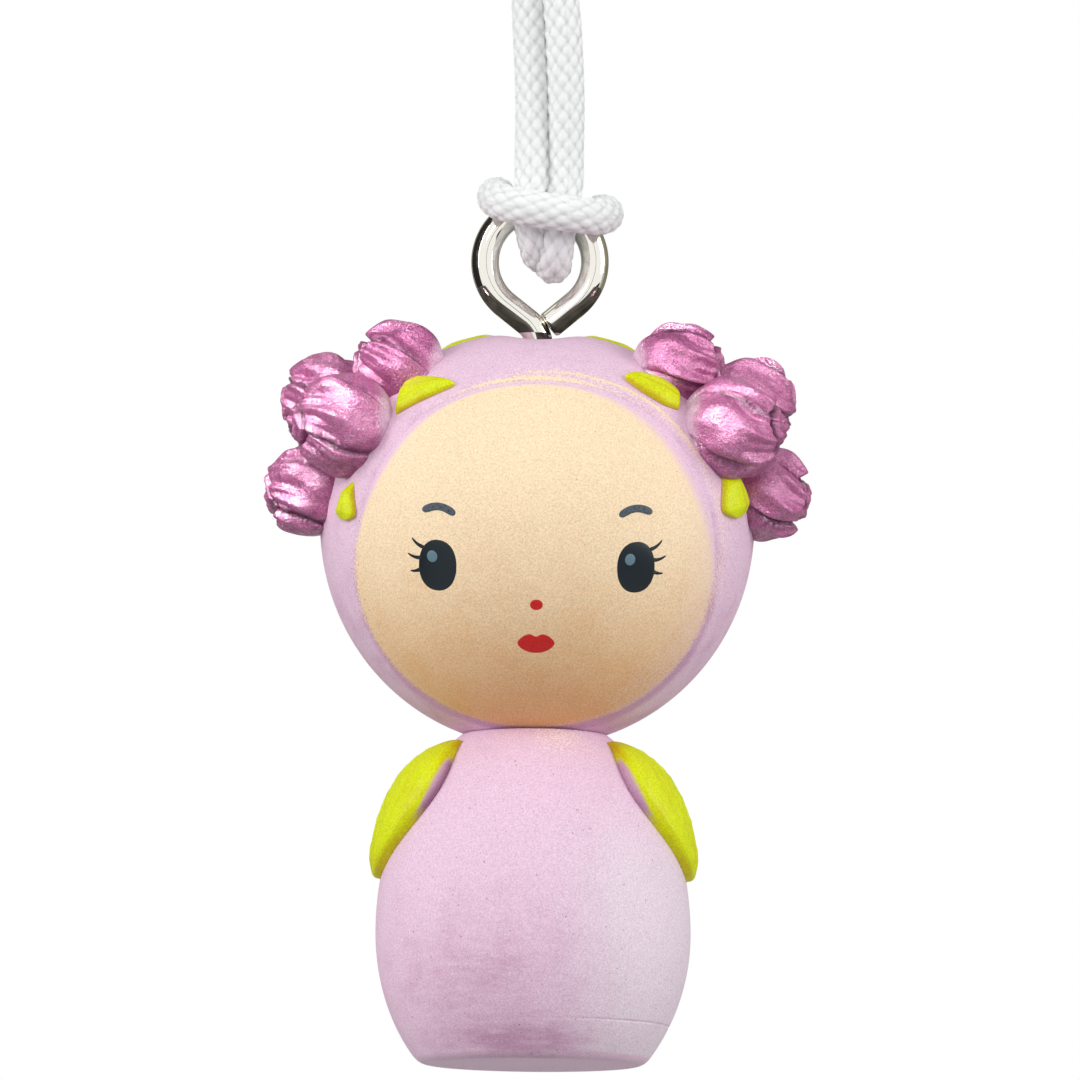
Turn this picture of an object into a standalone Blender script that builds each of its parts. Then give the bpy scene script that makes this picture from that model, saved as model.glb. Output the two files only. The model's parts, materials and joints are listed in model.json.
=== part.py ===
"""Keychain doll: a small cast figure, hand painted, that hangs from a braided cord by a screw eye.

Frame: metres, +Z up, the face looks along -Y. The origin is the hang point, the inner top of the
cord's loop. The doll's pieces are laid out from its base plane, on its own axis, and the pivot
empties carry them to that frame.
"""

import math
from collections import namedtuple

import bmesh
import bpy
import numpy as np
from mathutils import Matrix, Vector

MM = 0.001

# Clearances between pieces
FIT = 0.25 * MM
CORD_GAP = 0.28 * MM

# Body: an egg of rotation with a flat base
BASE_RADIUS = 6.9 * MM
BASE_ROUND = 0.5 * MM
BODY_RADIUS = 9.7 * MM
BODY_WIDEST = 8.0 * MM
NECK_RADIUS = 4.6 * MM
NECK_HEIGHT = 20.2 * MM

# Head: an ellipsoid with a flatter crown, dimpled where the screw goes in
HEAD_HALF_WIDTH = 13.35 * MM
HEAD_HALF_DEPTH = 12.6 * MM
HEAD_CROWN = 11.9 * MM
HEAD_CHIN = 13.7 * MM
DIMPLE_DEPTH = 0.75 * MM
DIMPLE_SPREAD = 1.8 * MM

# Face: a cap set into a round pocket in the front of the head
FACE_MARGIN = 2.35 * MM
FACE_DEPTH = 6.4 * MM
FACE_INSET = 0.15 * MM
FACE_TILT = math.radians(18.0)

# Dowel that joins head and body at the neck
DOWEL_RADIUS = 1.5 * MM
DOWEL_LENGTH = 12.0 * MM
DOWEL_CHAMFER = 0.3 * MM

# Leaf-shaped sleeves on the shoulders: the skew moves the widest place towards the tip, and the
# sleeve rises from its top share to its full height over the first part of its length
SLEEVE_TOP_AZIMUTH = math.radians(64.0)
SLEEVE_TIP_AZIMUTH = math.radians(88.0)
SLEEVE_DROP = 0.5 * MM
SLEEVE_LENGTH = 8.4 * MM
SLEEVE_HALF_WIDTH = 3.5 * MM
SLEEVE_TIP_WIDTH = 0.55 * MM
SLEEVE_SKEW = 1.15
SLEEVE_THICKNESS = 1.1 * MM
SLEEVE_THINNING = 0.4 * MM
SLEEVE_EDGE = 0.45 * MM
SLEEVE_TOP_SHARE = 0.4
SLEEVE_RISE = 0.42

# Clusters of blossoms: the place of each in its cluster is in steps of the pitch, towards the face
# and towards the crown, and its stand is the height of its middle over the head
BLOSSOM_RADIUS = 2.9 * MM
BLOSSOM_PITCH = 6.3 * MM
BLOSSOM_LEAN = Vector((1.4, 0.35, -0.5))
BLOSSOM_SPIN = math.radians(74.5)
PETALS = 4
PETAL_COLUMNS = (0.02, 0.26, 0.5, 0.74, 0.98)
PETAL_STEP = 0.15
PETAL_LEAN = 0.3
PETAL_RIM = math.radians(40.0)
PETAL_SCALLOP = math.radians(12.0)
MOUTH_SHARE = 0.8
CLUSTER_AZIMUTH = math.radians(82.0)
CLUSTER_ELEVATION = math.radians(31.0)
Blossom = namedtuple("Blossom", "forward up stand scale")
BLOSSOMS = {
    "front": Blossom(0.59, -0.27, 1.4 * MM, 1.1),
    "low": Blossom(-0.13, -0.88, 0.7 * MM, 1.02),
    "top": Blossom(0.34, 0.55, 0.55 * MM, 1.0),
    "back": Blossom(-0.6, 0.0, 2.4 * MM, 1.0),
}

# Leaves among the blossoms: the middle in the same steps, the way the tip points, from the face to
# the crown, and the outline, which starts at the foot's share of the width and is full at a share
# of the length
LEAF_TIP_WIDTH = 0.25 * MM
LEAF_THICKNESS = 0.75 * MM
LEAF_EDGE = 0.4 * MM
Leaf = namedtuple("Leaf", "forward up heading length half_width lift foot fullest blunt")
LEAVES = {
    "upper": Leaf(1.25, 0.43, math.radians(44.0), 4.6 * MM, 1.45 * MM, 1.0, 0.85, 0.25, 1.1),
    "low": Leaf(0.85, -0.92, math.radians(275.0), 3.4 * MM, 1.15 * MM, 0.9, 0.3, 0.6, 4.0),
    "crown": Leaf(-0.6, 1.64, math.radians(97.0), 4.4 * MM, 1.0 * MM, 0.7, 0.5, 0.35, 1.4),
}

# Screw eye: a wire ring that turns down into a shank, with a straight tail back to it
EYE_WIRE = 1.7 * MM
EYE_RING = 3.38 * MM
EYE_SHANK = 9.0 * MM
EYE_POINT = 2.0 * MM
EYE_TIP_SHARE = 0.12
EYE_BEND = 1.0 * MM
EYE_LEG_ANGLE = math.radians(232.0)
EYE_END_ANGLE = math.radians(-50.0)
EYE_TAIL = 1.9 * MM

# Cord: hitched round the eye, with a loop to hang by
CORD_DIAMETER = 2.0 * MM
STRAND_X = 1.14 * MM
LEFT_PASS = 0.5 * MM
RIGHT_PASS = 0.0 * MM
HITCH_TOP = 5.9 * MM
LOOP_INNER_TOP = 31.6 * MM

# Facets
ROUND_SIDES = 36
HEAD_RINGS = 20
BORE_SIDES = 16
BLOSSOM_RINGS = 13
BODY_RINGS = 15
SLEEVE_GRID = (11, 9)
LEAF_GRID = (8, 7)
EYE_STEPS = 30
BEND_STEPS = 5
EYE_FACETS = 3
HITCH_STEPS = 50
LOOP_STEPS = 28
CORD_FACETS = 2
DOME_ANGLES = np.radians((30.0, 60.0, 80.0))
TURN_ANGLES = np.radians((0.0, 45.0, 90.0, 135.0, 180.0))
KNOT_STEPS = 24
SHARP_ANGLE = math.radians(35.0)
PETAL_SHARP_ANGLE = math.radians(25.0)

# Sizes that follow from those above
BODY_LOWER = BODY_WIDEST / math.sqrt(1.0 - (BASE_RADIUS / BODY_RADIUS) ** 2)
BODY_UPPER = (NECK_HEIGHT - BODY_WIDEST) / math.sqrt(1.0 - (NECK_RADIUS / BODY_RADIUS) ** 2)
HEAD_DROP = HEAD_CHIN * math.sqrt(1.0 - (NECK_RADIUS / HEAD_HALF_WIDTH) ** 2)
HEAD_CENTRE = Vector((0.0, 0.0, NECK_HEIGHT + HEAD_DROP + FIT))
FACE_RADIUS = HEAD_HALF_WIDTH - FACE_MARGIN
FACE_PLANE = HEAD_HALF_DEPTH - FACE_DEPTH
SLEEVE_TOP = NECK_HEIGHT - SLEEVE_DROP
SLEEVE_TIP = SLEEVE_TOP - SLEEVE_LENGTH
EYE_STAND = EYE_RING / -math.sin(EYE_LEG_ANGLE)
EYE_CENTRE = HEAD_CENTRE + Vector((0.0, 0.0, HEAD_CROWN + EYE_STAND))
CORD_RADIUS = CORD_DIAMETER / 2.0
STRAND_Y = -(EYE_WIRE / 2.0 + CORD_RADIUS + CORD_GAP)
HANG_POINT = EYE_CENTRE + Vector((0.0, STRAND_Y, LOOP_INNER_TOP))
HITCH_PIVOT = EYE_CENTRE + Vector((0.0, STRAND_Y, HITCH_TOP - CORD_RADIUS))
SIDES = {"left": -1.0, "right": 1.0}


def clear_scene():
    for obj in list(bpy.data.objects):
        bpy.data.objects.remove(obj, do_unlink=True)


def make_material(name, colour, roughness, metallic=0.0):
    material = bpy.data.materials.new(name)
    material.use_nodes = True
    shader = material.node_tree.nodes["Principled BSDF"]
    shader.inputs["Base Color"].default_value = (*colour, 1.0)
    shader.inputs["Roughness"].default_value = roughness
    shader.inputs["Metallic"].default_value = metallic
    return material


def make_empty(name, place, parent=None):
    """An empty at a place in the doll's own layout, whose base plane is at height 0."""
    empty = bpy.data.objects.new(name, None)
    bpy.context.collection.objects.link(empty)
    empty["place"] = place
    empty.parent = parent
    carried = Vector(parent["place"]) if parent else HANG_POINT
    empty.location = place - carried
    return empty


def add_object(name, data, parent, material, place=Vector()):
    """An object whose data is drawn about a place in the doll's own layout."""
    obj = bpy.data.objects.new(name, data)
    bpy.context.collection.objects.link(obj)
    obj.parent = parent
    obj.location = place - Vector(parent["place"])
    if material:
        data.materials.append(material)
    return obj


def finish_mesh(name, bm, sharp=SHARP_ANGLE):
    """Close the bmesh's normals outwards and shade it smooth, with its hard edges kept."""
    bmesh.ops.recalc_face_normals(bm, faces=bm.faces)
    mesh = bpy.data.meshes.new(name)
    bm.to_mesh(mesh)
    bm.free()
    mesh.shade_smooth()
    mesh.set_sharp_from_angle(angle=sharp)
    return mesh


def cut(obj, cutter, operation="DIFFERENCE"):
    modifier = obj.modifiers.new(cutter.name, "BOOLEAN")
    modifier.operation = operation
    modifier.object = cutter


def make_cutter(name, data, parent, place=Vector()):
    cutter = add_object(name, data, parent, None, place)
    cutter.hide_render = True
    cutter.display_type = "WIRE"
    return cutter


def rod_mesh(name, radius, start, end, sides=BORE_SIDES):
    """A straight round rod between two points."""
    along = end - start
    turn = Vector((0.0, 0.0, 1.0)).rotation_difference(along).to_matrix().to_4x4()
    bm = bmesh.new()
    bmesh.ops.create_cone(
        bm,
        cap_ends=True,
        segments=sides,
        radius1=radius,
        radius2=radius,
        depth=along.length,
        matrix=Matrix.Translation((start + end) / 2.0) @ turn,
    )
    return finish_mesh(name, bm)


def head_axes(unit, grow):
    """The head's half axes for a unit direction: the crown is flatter than the chin."""
    height = HEAD_CROWN if unit.z > 0.0 else HEAD_CHIN
    return Vector((HEAD_HALF_WIDTH + grow, HEAD_HALF_DEPTH + grow, height + grow))


def on_head(point):
    """The head's surface point and normal under a point near it."""
    offset = point - HEAD_CENTRE
    axes = head_axes(offset, 0.0)
    unit = Vector(o / a for o, a in zip(offset, axes)).normalized()
    surface = HEAD_CENTRE + Vector(u * a for u, a in zip(unit, axes))
    normal = Vector(u / a for u, a in zip(unit, axes)).normalized()
    return surface, normal


def head_ball_mesh(name, grow=0.0, dimple=0.0):
    """The head's ellipsoid, larger or smaller by grow, with the crown's dimple."""
    bm = bmesh.new()
    bmesh.ops.create_uvsphere(bm, u_segments=ROUND_SIDES, v_segments=HEAD_RINGS, radius=1.0)
    for vert in bm.verts:
        axes = head_axes(vert.co, grow)
        vert.co = HEAD_CENTRE + Vector(u * a for u, a in zip(vert.co, axes))
        if vert.co.z > HEAD_CENTRE.z:
            reach = math.hypot(vert.co.x, vert.co.y) / DIMPLE_SPREAD
            vert.co.z -= dimple * math.exp(-reach * reach)
    return finish_mesh(name, bm)


def egg_point(angle):
    """The body's profile at an angle above its widest level: radius and height."""
    half_height = BODY_UPPER if angle > 0.0 else BODY_LOWER
    return BODY_RADIUS * math.cos(angle), BODY_WIDEST + half_height * math.sin(angle)


def egg_angle(height):
    half_height = BODY_UPPER if height > BODY_WIDEST else BODY_LOWER
    return math.asin((height - BODY_WIDEST) / half_height)


def body_mesh():
    """The egg's profile, flat at the base with a rounded edge, spun about the doll's axis."""
    edge = BASE_RADIUS - BASE_ROUND
    turned = BASE_ROUND * math.sqrt(0.5)
    profile = [(0.0, 0.0), (edge, 0.0), (edge + turned, BASE_ROUND - turned)]
    for angle in np.linspace(egg_angle(BASE_ROUND), math.pi / 2.0, BODY_RINGS):
        profile.append(egg_point(float(angle)))
    profile[-1] = (0.0, profile[-1][1])
    bm = bmesh.new()
    verts = [bm.verts.new((radius, 0.0, height)) for radius, height in profile]
    edges = [bm.edges.new(pair) for pair in zip(verts, verts[1:])]
    bmesh.ops.spin(
        bm, geom=verts + edges, cent=(0, 0, 0), axis=(0, 0, 1), angle=2.0 * math.pi, steps=ROUND_SIDES
    )
    bmesh.ops.remove_doubles(bm, verts=bm.verts, dist=0.001 * MM)
    return finish_mesh("body", bm)


def shell_mesh(name, under, over):
    """A closed shell between two grids of points of the same size."""
    rows, columns = len(under), len(under[0])
    bm = bmesh.new()
    lower = [[bm.verts.new(point) for point in row] for row in under]
    upper = [[bm.verts.new(point) for point in row] for row in over]
    for grid in (lower, upper):
        for i in range(rows - 1):
            for j in range(columns - 1):
                bm.faces.new((grid[i][j], grid[i + 1][j], grid[i + 1][j + 1], grid[i][j + 1]))
    rim = [(i, 0) for i in range(rows)]
    rim += [(rows - 1, j) for j in range(1, columns)]
    rim += [(i, columns - 1) for i in range(rows - 2, -1, -1)]
    rim += [(0, j) for j in range(columns - 2, 0, -1)]
    for (i, j), (m, n) in zip(rim, rim[1:] + rim[:1]):
        bm.faces.new((lower[i][j], lower[m][n], upper[m][n], upper[i][j]))
    return finish_mesh(name, bm)


def crown(across):
    """The crown over a leaf, from its middle at 0 to its edges at -1 and 1."""
    return math.sqrt(max(0.0, 1.0 - across * across))


def sleeve_width(along):
    """Half the sleeve's width, from its top at 0 to its tip at 1: a skewed sine arch."""
    arch = math.sin(math.pi * along**SLEEVE_SKEW)
    return SLEEVE_TIP_WIDTH + (SLEEVE_HALF_WIDTH - SLEEVE_TIP_WIDTH) * arch


def sleeve_lift(along, across):
    """How high the sleeve stands: it rises from its top and thins to its tip."""
    thickness = SLEEVE_THICKNESS - SLEEVE_THINNING * max(0.0, 2.0 * along - 1.0)
    rise = math.sin(math.pi / 2.0 * min(1.0, along / SLEEVE_RISE))
    lift = SLEEVE_EDGE + (thickness - SLEEVE_EDGE) * crown(across)
    return lift * (SLEEVE_TOP_SHARE + (1.0 - SLEEVE_TOP_SHARE) * rise)


def sleeve_point(side, along, across, lift):
    """A point over the shoulder: down the egg from the neck, and round it from front to back."""
    top = egg_angle(SLEEVE_TOP)
    angle = top + (egg_angle(SLEEVE_TIP) - top) * along
    radius, height = egg_point(angle)
    middle = SLEEVE_TOP_AZIMUTH + (SLEEVE_TIP_AZIMUTH - SLEEVE_TOP_AZIMUTH) * along
    azimuth = middle + across * sleeve_width(along) / radius
    half_height = BODY_UPPER if angle > 0.0 else BODY_LOWER
    out = Vector((math.cos(angle) / BODY_RADIUS, 0.0, math.sin(angle) / half_height)).normalized()
    radius += lift * out.x
    height += lift * out.z
    return Vector((side * radius * math.sin(azimuth), -radius * math.cos(azimuth), height))


def sleeve_mesh(name, side):
    rows = [float(s) for s in np.linspace(0.0, 1.0, SLEEVE_GRID[0])]
    columns = [float(t) for t in np.linspace(-1.0, 1.0, SLEEVE_GRID[1])]
    under = [[sleeve_point(side, s, t, FIT) for t in columns] for s in rows]
    over = [[sleeve_point(side, s, t, FIT + sleeve_lift(s, t)) for t in columns] for s in rows]
    return shell_mesh(name, under, over)


def cluster_point(side, forward, up):
    """A point near the head, in steps of the blossoms' pitch from the middle of a cluster."""
    flat = math.cos(CLUSTER_ELEVATION)
    out = Vector(
        (
            side * flat * math.sin(CLUSTER_AZIMUTH),
            -flat * math.cos(CLUSTER_AZIMUTH),
            math.sin(CLUSTER_ELEVATION),
        )
    )
    to_face = Vector((-side * math.cos(CLUSTER_AZIMUTH), -math.sin(CLUSTER_AZIMUTH), 0.0))
    to_crown = out.cross(to_face) * -side
    middle, _ = on_head(HEAD_CENTRE + out * HEAD_HALF_WIDTH)
    return middle + (to_face * forward + to_crown * up) * BLOSSOM_PITCH


def blossom_place(side, blossom):
    """A blossom's middle, and the way it points: out from the head, and more to its side."""
    surface, normal = on_head(cluster_point(side, blossom.forward, blossom.up))
    lean = Vector((side * BLOSSOM_LEAN.x, BLOSSOM_LEAN.y, BLOSSOM_LEAN.z))
    return surface + normal * blossom.stand, (normal + lean).normalized()


def petal_radius(polar, rise):
    """The bud's radius as a share of its largest, from its tip, at polar angle 0, to its foot.

    Each petal of the outer ring rises steadily round the bud and drops to the next, the ring ends
    in a scalloped rim, and a tighter ring of petals, half a petal on, fills the mouth.
    """
    inner_rise = (rise + 0.5) % 1.0
    rim = PETAL_RIM + PETAL_SCALLOP * math.sin(math.pi * rise)
    in_mouth = min(1.0, max(0.0, (rim - polar) / PETAL_SCALLOP))
    above_foot = min(1.0, (math.pi - polar) / (math.pi - 2.0 * PETAL_RIM))
    in_bud = min(1.0, 2.0 * polar / PETAL_RIM)
    outer = 1.0 - PETAL_STEP * (1.0 - rise) * above_foot
    inner = MOUTH_SHARE - PETAL_STEP * (1.0 - inner_rise) * in_bud
    return outer + (inner - outer) * in_mouth


def blossom_mesh(name, size, spin):
    """A ball whose columns lean with the petals, two of them close to each petal's edge."""
    columns = PETALS * len(PETAL_COLUMNS)
    bm = bmesh.new()
    bmesh.ops.create_uvsphere(bm, u_segments=columns, v_segments=BLOSSOM_RINGS, radius=1.0)
    for vert in bm.verts:
        polar = math.acos(max(-1.0, min(1.0, vert.co.z)))
        column = round(math.atan2(vert.co.y, vert.co.x) / (2.0 * math.pi) * columns) % columns
        petal, place = divmod(column, len(PETAL_COLUMNS))
        rise = PETAL_COLUMNS[place]
        turn = spin + 2.0 * math.pi * (petal + rise - PETAL_LEAN * polar) / PETALS
        level = math.sin(polar)
        way = Vector((level * math.cos(turn), level * math.sin(turn), math.cos(polar)))
        vert.co = size * petal_radius(polar, rise) * way
    return finish_mesh(name, bm, sharp=PETAL_SHARP_ANGLE)


def room_mesh(name, size):
    """The ball of room that a blossom takes from its neighbours."""
    bm = bmesh.new()
    bmesh.ops.create_uvsphere(bm, u_segments=BORE_SIDES, v_segments=BLOSSOM_RINGS, radius=size + FIT)
    return finish_mesh(name, bm)


def leaf_width(leaf, along):
    """Half a hair leaf's width, from its foot at 0 to its tip at 1."""
    share = leaf.foot + (1.0 - leaf.foot) * min(1.0, along / leaf.fullest)
    return LEAF_TIP_WIDTH + (leaf.half_width - LEAF_TIP_WIDTH) * share * (1.0 - along**leaf.blunt)


def leaf_lift(leaf, along, across):
    """How high a hair leaf stands: a crown along its middle that runs out at its edges and ends."""
    middle = crown(across) * math.sqrt(max(0.0, math.sin(math.pi * along)))
    return leaf.lift * (LEAF_EDGE + (LEAF_THICKNESS - LEAF_EDGE) * middle)


def hair_leaf_mesh(name, side, leaf):
    """A leaf on the head: its grid is drawn on the tangent plane and let down onto the hair."""
    middle, normal = on_head(cluster_point(side, leaf.forward, leaf.up))
    tip = (leaf.forward + math.cos(leaf.heading), leaf.up + math.sin(leaf.heading))
    ahead, _ = on_head(cluster_point(side, *tip))
    across_way = normal.cross(ahead - middle).normalized()
    along_way = across_way.cross(normal)
    under, over = [], []
    for s in np.linspace(0.0, 1.0, LEAF_GRID[0]).tolist():
        width = leaf_width(leaf, s)
        under.append([])
        over.append([])
        for t in np.linspace(-1.0, 1.0, LEAF_GRID[1]).tolist():
            flat = middle + along_way * ((s - 0.5) * leaf.length) + across_way * (t * width)
            surface, out = on_head(flat)
            under[-1].append(surface + out * FIT)
            over[-1].append(surface + out * (FIT + leaf_lift(leaf, s, t)))
    return shell_mesh(name, under, over)


def tube_curve(name, points, shares, radius, facets):
    """A round tube along points, with filled ends: shares are of the radius, point by point."""
    curve = bpy.data.curves.new(name, "CURVE")
    curve.dimensions = "3D"
    curve.bevel_depth = radius
    curve.bevel_resolution = facets
    curve.use_fill_caps = True
    spline = curve.splines.new("POLY")
    spline.points.add(len(points) - 1)
    for index, point in enumerate(points):
        spline.points[index].co = (*point, 1.0)
        spline.points[index].radius = shares[index]
    spline.use_smooth = True
    return curve


def eye_points():
    """The eye's wire, from the screw's point up the shank, round the ring and along its tail."""
    ring_start = Vector((math.cos(EYE_LEG_ANGLE), 0.0, math.sin(EYE_LEG_ANGLE))) * EYE_RING
    down = Vector((-math.sin(EYE_LEG_ANGLE), 0.0, math.cos(EYE_LEG_ANGLE)))
    corner = ring_start + down * (-ring_start.x / down.x)
    shank_end = -EYE_STAND - EYE_SHANK
    points = [Vector((0.0, 0.0, shank_end)), Vector((0.0, 0.0, shank_end + EYE_POINT))]
    radii = [EYE_TIP_SHARE, 1.0]
    leave, arrive = corner - Vector((0.0, 0.0, EYE_BEND)), corner - down * EYE_BEND
    for share in np.linspace(0.0, 1.0, BEND_STEPS):
        points.append(leave.lerp(corner, share).lerp(corner.lerp(arrive, share), share))
    for angle in np.linspace(EYE_LEG_ANGLE, EYE_END_ANGLE, EYE_STEPS):
        points.append(Vector((math.cos(angle), 0.0, math.sin(angle))) * EYE_RING)
    back = Vector((math.sin(EYE_END_ANGLE), 0.0, -math.cos(EYE_END_ANGLE)))
    points.append(points[-1] + back * EYE_TAIL)
    radii += [1.0] * (len(points) - len(radii))
    return points, radii


def smooth_route(knots, count):
    """Points at even steps along a smooth curve that passes through every knot."""
    knots = np.array(knots)
    ghost = np.vstack([2 * knots[0] - knots[1], knots, 2 * knots[-1] - knots[-2]])
    fine = []
    for i in range(len(knots) - 1):
        a, b, c, d = ghost[i : i + 4]
        for t in np.linspace(0.0, 1.0, KNOT_STEPS, endpoint=False):
            bow = (2 * a - 5 * b + 4 * c - d) * t * t + (3 * b - a - 3 * c + d) * t**3
            fine.append(0.5 * (2 * b + (c - a) * t + bow))
    fine = np.array(fine + [knots[-1]])
    run = np.concatenate([[0.0], np.cumsum(np.linalg.norm(np.diff(fine, axis=0), axis=1))])
    even = np.linspace(0.0, run[-1], count)
    return np.column_stack([np.interp(even, run, fine[:, k]) for k in range(3)])


def strand_knots(side, lowest):
    """A strand of the hitch: down before the ring, back through it at its lowest, and up behind."""
    pivot_height = HITCH_TOP - CORD_RADIUS
    turn_height = lowest - STRAND_Y
    x = side * STRAND_X
    falls = [(x, STRAND_Y, pivot_height), (x, STRAND_Y, (pivot_height + turn_height) / 2.0)]
    turns = [(STRAND_Y * math.cos(t), turn_height + STRAND_Y * math.sin(t)) for t in TURN_ANGLES]
    return falls + [(x, y, z) for y, z in turns]


def hitch_knots():
    """The hitch's route about the ring's centre, from the left strand to the right one.

    The two strands meet in the band that lies across the front and slopes down to the right.
    """
    left_bulb = [(-1.2, 2.25, 3.7), (-1.65, 2.2, 4.55), (-2.5, 1.6, 5.0), (-3.3, 0.0, 4.8)]
    left_band = [(-3.55, -1.7, 4.2), (-3.0, -3.55, 3.55), (-1.5, -4.6, 3.05), (0.3, -4.8, 2.75)]
    right_band = [(2.0, -4.55, 2.5), (3.45, -3.5, 2.45), (4.3, -1.8, 2.75)]
    right_bulb = [(4.35, 0.0, 3.4), (3.35, 1.6, 3.95), (2.1, 2.3, 3.7), (1.35, 2.3, 2.95)]
    across = [tuple(c * MM for c in knot) for knot in left_bulb + left_band + right_band + right_bulb]
    return strand_knots(-1.0, LEFT_PASS) + across + strand_knots(1.0, RIGHT_PASS)[::-1]


def loop_knots():
    """The hang loop's route about the ring's centre, from the left strand over to the right one."""
    foot = HITCH_TOP + CORD_GAP
    top = LOOP_INNER_TOP + CORD_RADIUS
    straight = [foot, 10.0 * MM, 14.0 * MM, 17.5 * MM]
    bow = [(1.9, 21.6), (3.4, 25.6), (4.0, 28.6), (2.9, 31.5)]
    half = [(STRAND_X, STRAND_Y, height) for height in straight]
    half += [(x * MM, STRAND_Y, z * MM) for x, z in bow]
    return [(-x, y, z) for x, y, z in half] + [(0.0, STRAND_Y, top)] + half[::-1]


def least_gap(points, radius):
    """The least gap between stretches of one tube that aren't neighbours along it."""
    apart = np.linalg.norm(points[:, None] - points[None], axis=2)
    run = np.concatenate([[0.0], np.cumsum(np.linalg.norm(np.diff(points, axis=0), axis=1))])
    along = np.abs(run[:, None] - run[None])
    return float((apart - 2.0 * radius)[along > 2.0 * math.pi * radius].min())


def domed(points, radius):
    """Round off both ends of a tube's points with half balls: the points and their radii."""
    first, last = points[0], points[-1]
    start_way = (points[0] - points[1]) / np.linalg.norm(points[0] - points[1])
    end_way = (points[-1] - points[-2]) / np.linalg.norm(points[-1] - points[-2])
    starts = [first + start_way * radius * math.sin(a) for a in DOME_ANGLES[::-1]]
    ends = [last + end_way * radius * math.sin(a) for a in DOME_ANGLES]
    shares = [math.cos(a) for a in DOME_ANGLES]
    return np.vstack([starts, points, ends]), shares[::-1] + [1.0] * len(points) + shares


def build_body(doll, paint):
    """The egg-shaped body, its seat for the head, the dowel and the two sleeves."""
    seat = make_cutter("cut_head_seat", head_ball_mesh("cut_head_seat", FIT), doll)
    neck = Vector((0.0, 0.0, HEAD_CENTRE.z - HEAD_CHIN))
    half_dowel = Vector((0.0, 0.0, DOWEL_LENGTH / 2.0))
    slack = Vector((0.0, 0.0, FIT))
    ends = (neck - half_dowel - slack, neck + half_dowel + slack)
    bore = make_cutter("cut_dowel_bore", rod_mesh("cut_dowel_bore", DOWEL_RADIUS + FIT, *ends), doll)
    body = add_object("body", body_mesh(), doll, paint["lilac"])
    cut(body, seat)
    cut(body, bore)
    dowel_mesh = rod_mesh("neck_dowel", DOWEL_RADIUS, neck - half_dowel, neck + half_dowel)
    dowel = add_object("neck_dowel", dowel_mesh, doll, paint["wood"])
    chamfer = dowel.modifiers.new("chamfer", "BEVEL")
    chamfer.width = DOWEL_CHAMFER
    chamfer.segments = 1
    chamfer.limit_method = "ANGLE"
    for name, side in SIDES.items():
        sleeve = add_object(f"sleeve_{name}", sleeve_mesh(f"sleeve_{name}", side), doll, paint["lime"])
        cut(sleeve, seat)
    return seat, bore


def build_head(doll, paint, bore):
    """The head with its pocket and bores, and the face cap that fills the pocket."""
    forward = Vector((0.0, -math.cos(FACE_TILT), -math.sin(FACE_TILT)))
    reach = HEAD_CENTRE + forward * (2.0 * HEAD_HALF_DEPTH)
    floor = HEAD_CENTRE + forward * FACE_PLANE
    pocket_mesh = rod_mesh("cut_face_pocket", FACE_RADIUS + FIT, floor, reach, ROUND_SIDES)
    blank_mesh = rod_mesh("cut_face_blank", FACE_RADIUS, floor + forward * FIT, reach, ROUND_SIDES)
    pocket = make_cutter("cut_face_pocket", pocket_mesh, doll)
    blank = make_cutter("cut_face_blank", blank_mesh, doll)
    foot = EYE_CENTRE - Vector((0.0, 0.0, EYE_STAND + EYE_SHANK + FIT))
    shank_mesh = rod_mesh("cut_shank_bore", EYE_WIRE / 2.0 + FIT, foot, EYE_CENTRE, BORE_SIDES)
    shank_bore = make_cutter("cut_shank_bore", shank_mesh, doll)
    head = add_object("head", head_ball_mesh("head", 0.0, DIMPLE_DEPTH), doll, paint["lilac"])
    for cutter in (pocket, bore, shank_bore):
        cut(head, cutter)
    face = add_object("face", head_ball_mesh("face", -FACE_INSET), doll, paint["cream"])
    cut(face, blank, "INTERSECT")


def build_blossoms(doll, paint, seat):
    """Four blossoms on each side of the head, and the leaves among them."""
    for side_name, side in SIDES.items():
        rooms = []
        for index, (name, blossom) in enumerate(BLOSSOMS.items()):
            node = f"blossom_{side_name}_{name}"
            place, out = blossom_place(side, blossom)
            size = BLOSSOM_RADIUS * blossom.scale
            mesh = blossom_mesh(node, size, BLOSSOM_SPIN * index)
            bud = add_object(node, mesh, doll, paint["pearl"], place)
            bud.rotation_mode = "QUATERNION"
            bud.rotation_quaternion = out.to_track_quat("Z", "Y")
            for cutter in (seat, *rooms):
                cut(bud, cutter)
            rooms.append(make_cutter(f"cut_{node}", room_mesh(f"cut_{node}", size), doll, place))
        for name, leaf in LEAVES.items():
            node = f"hair_leaf_{side_name}_{name}"
            blade = add_object(node, hair_leaf_mesh(node, side, leaf), doll, paint["lime"])
            for cutter in rooms:
                cut(blade, cutter)


def build_eye(doll, paint):
    wire = tube_curve("screw_eye", *eye_points(), EYE_WIRE / 2.0, EYE_FACETS)
    add_object("screw_eye", wire, doll, paint["nickel"], EYE_CENTRE)


def build_cord(hang, hitch, paint):
    """The hitch round the eye and the loop above it."""
    route = smooth_route(hitch_knots(), HITCH_STEPS)
    print("cord hitch: least gap to itself", round(least_gap(route, CORD_RADIUS) / MM, 2), "mm")
    hitch_curve = tube_curve("cord_hitch", *domed(route, CORD_RADIUS), CORD_RADIUS, CORD_FACETS)
    add_object("cord_hitch", hitch_curve, hitch, paint["cord"], EYE_CENTRE)
    loop = smooth_route(loop_knots(), LOOP_STEPS)
    loop_curve = tube_curve("cord_loop", loop, [1.0] * len(loop), CORD_RADIUS, CORD_FACETS)
    add_object("cord_loop", loop_curve, hang, paint["cord"], EYE_CENTRE)


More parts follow.
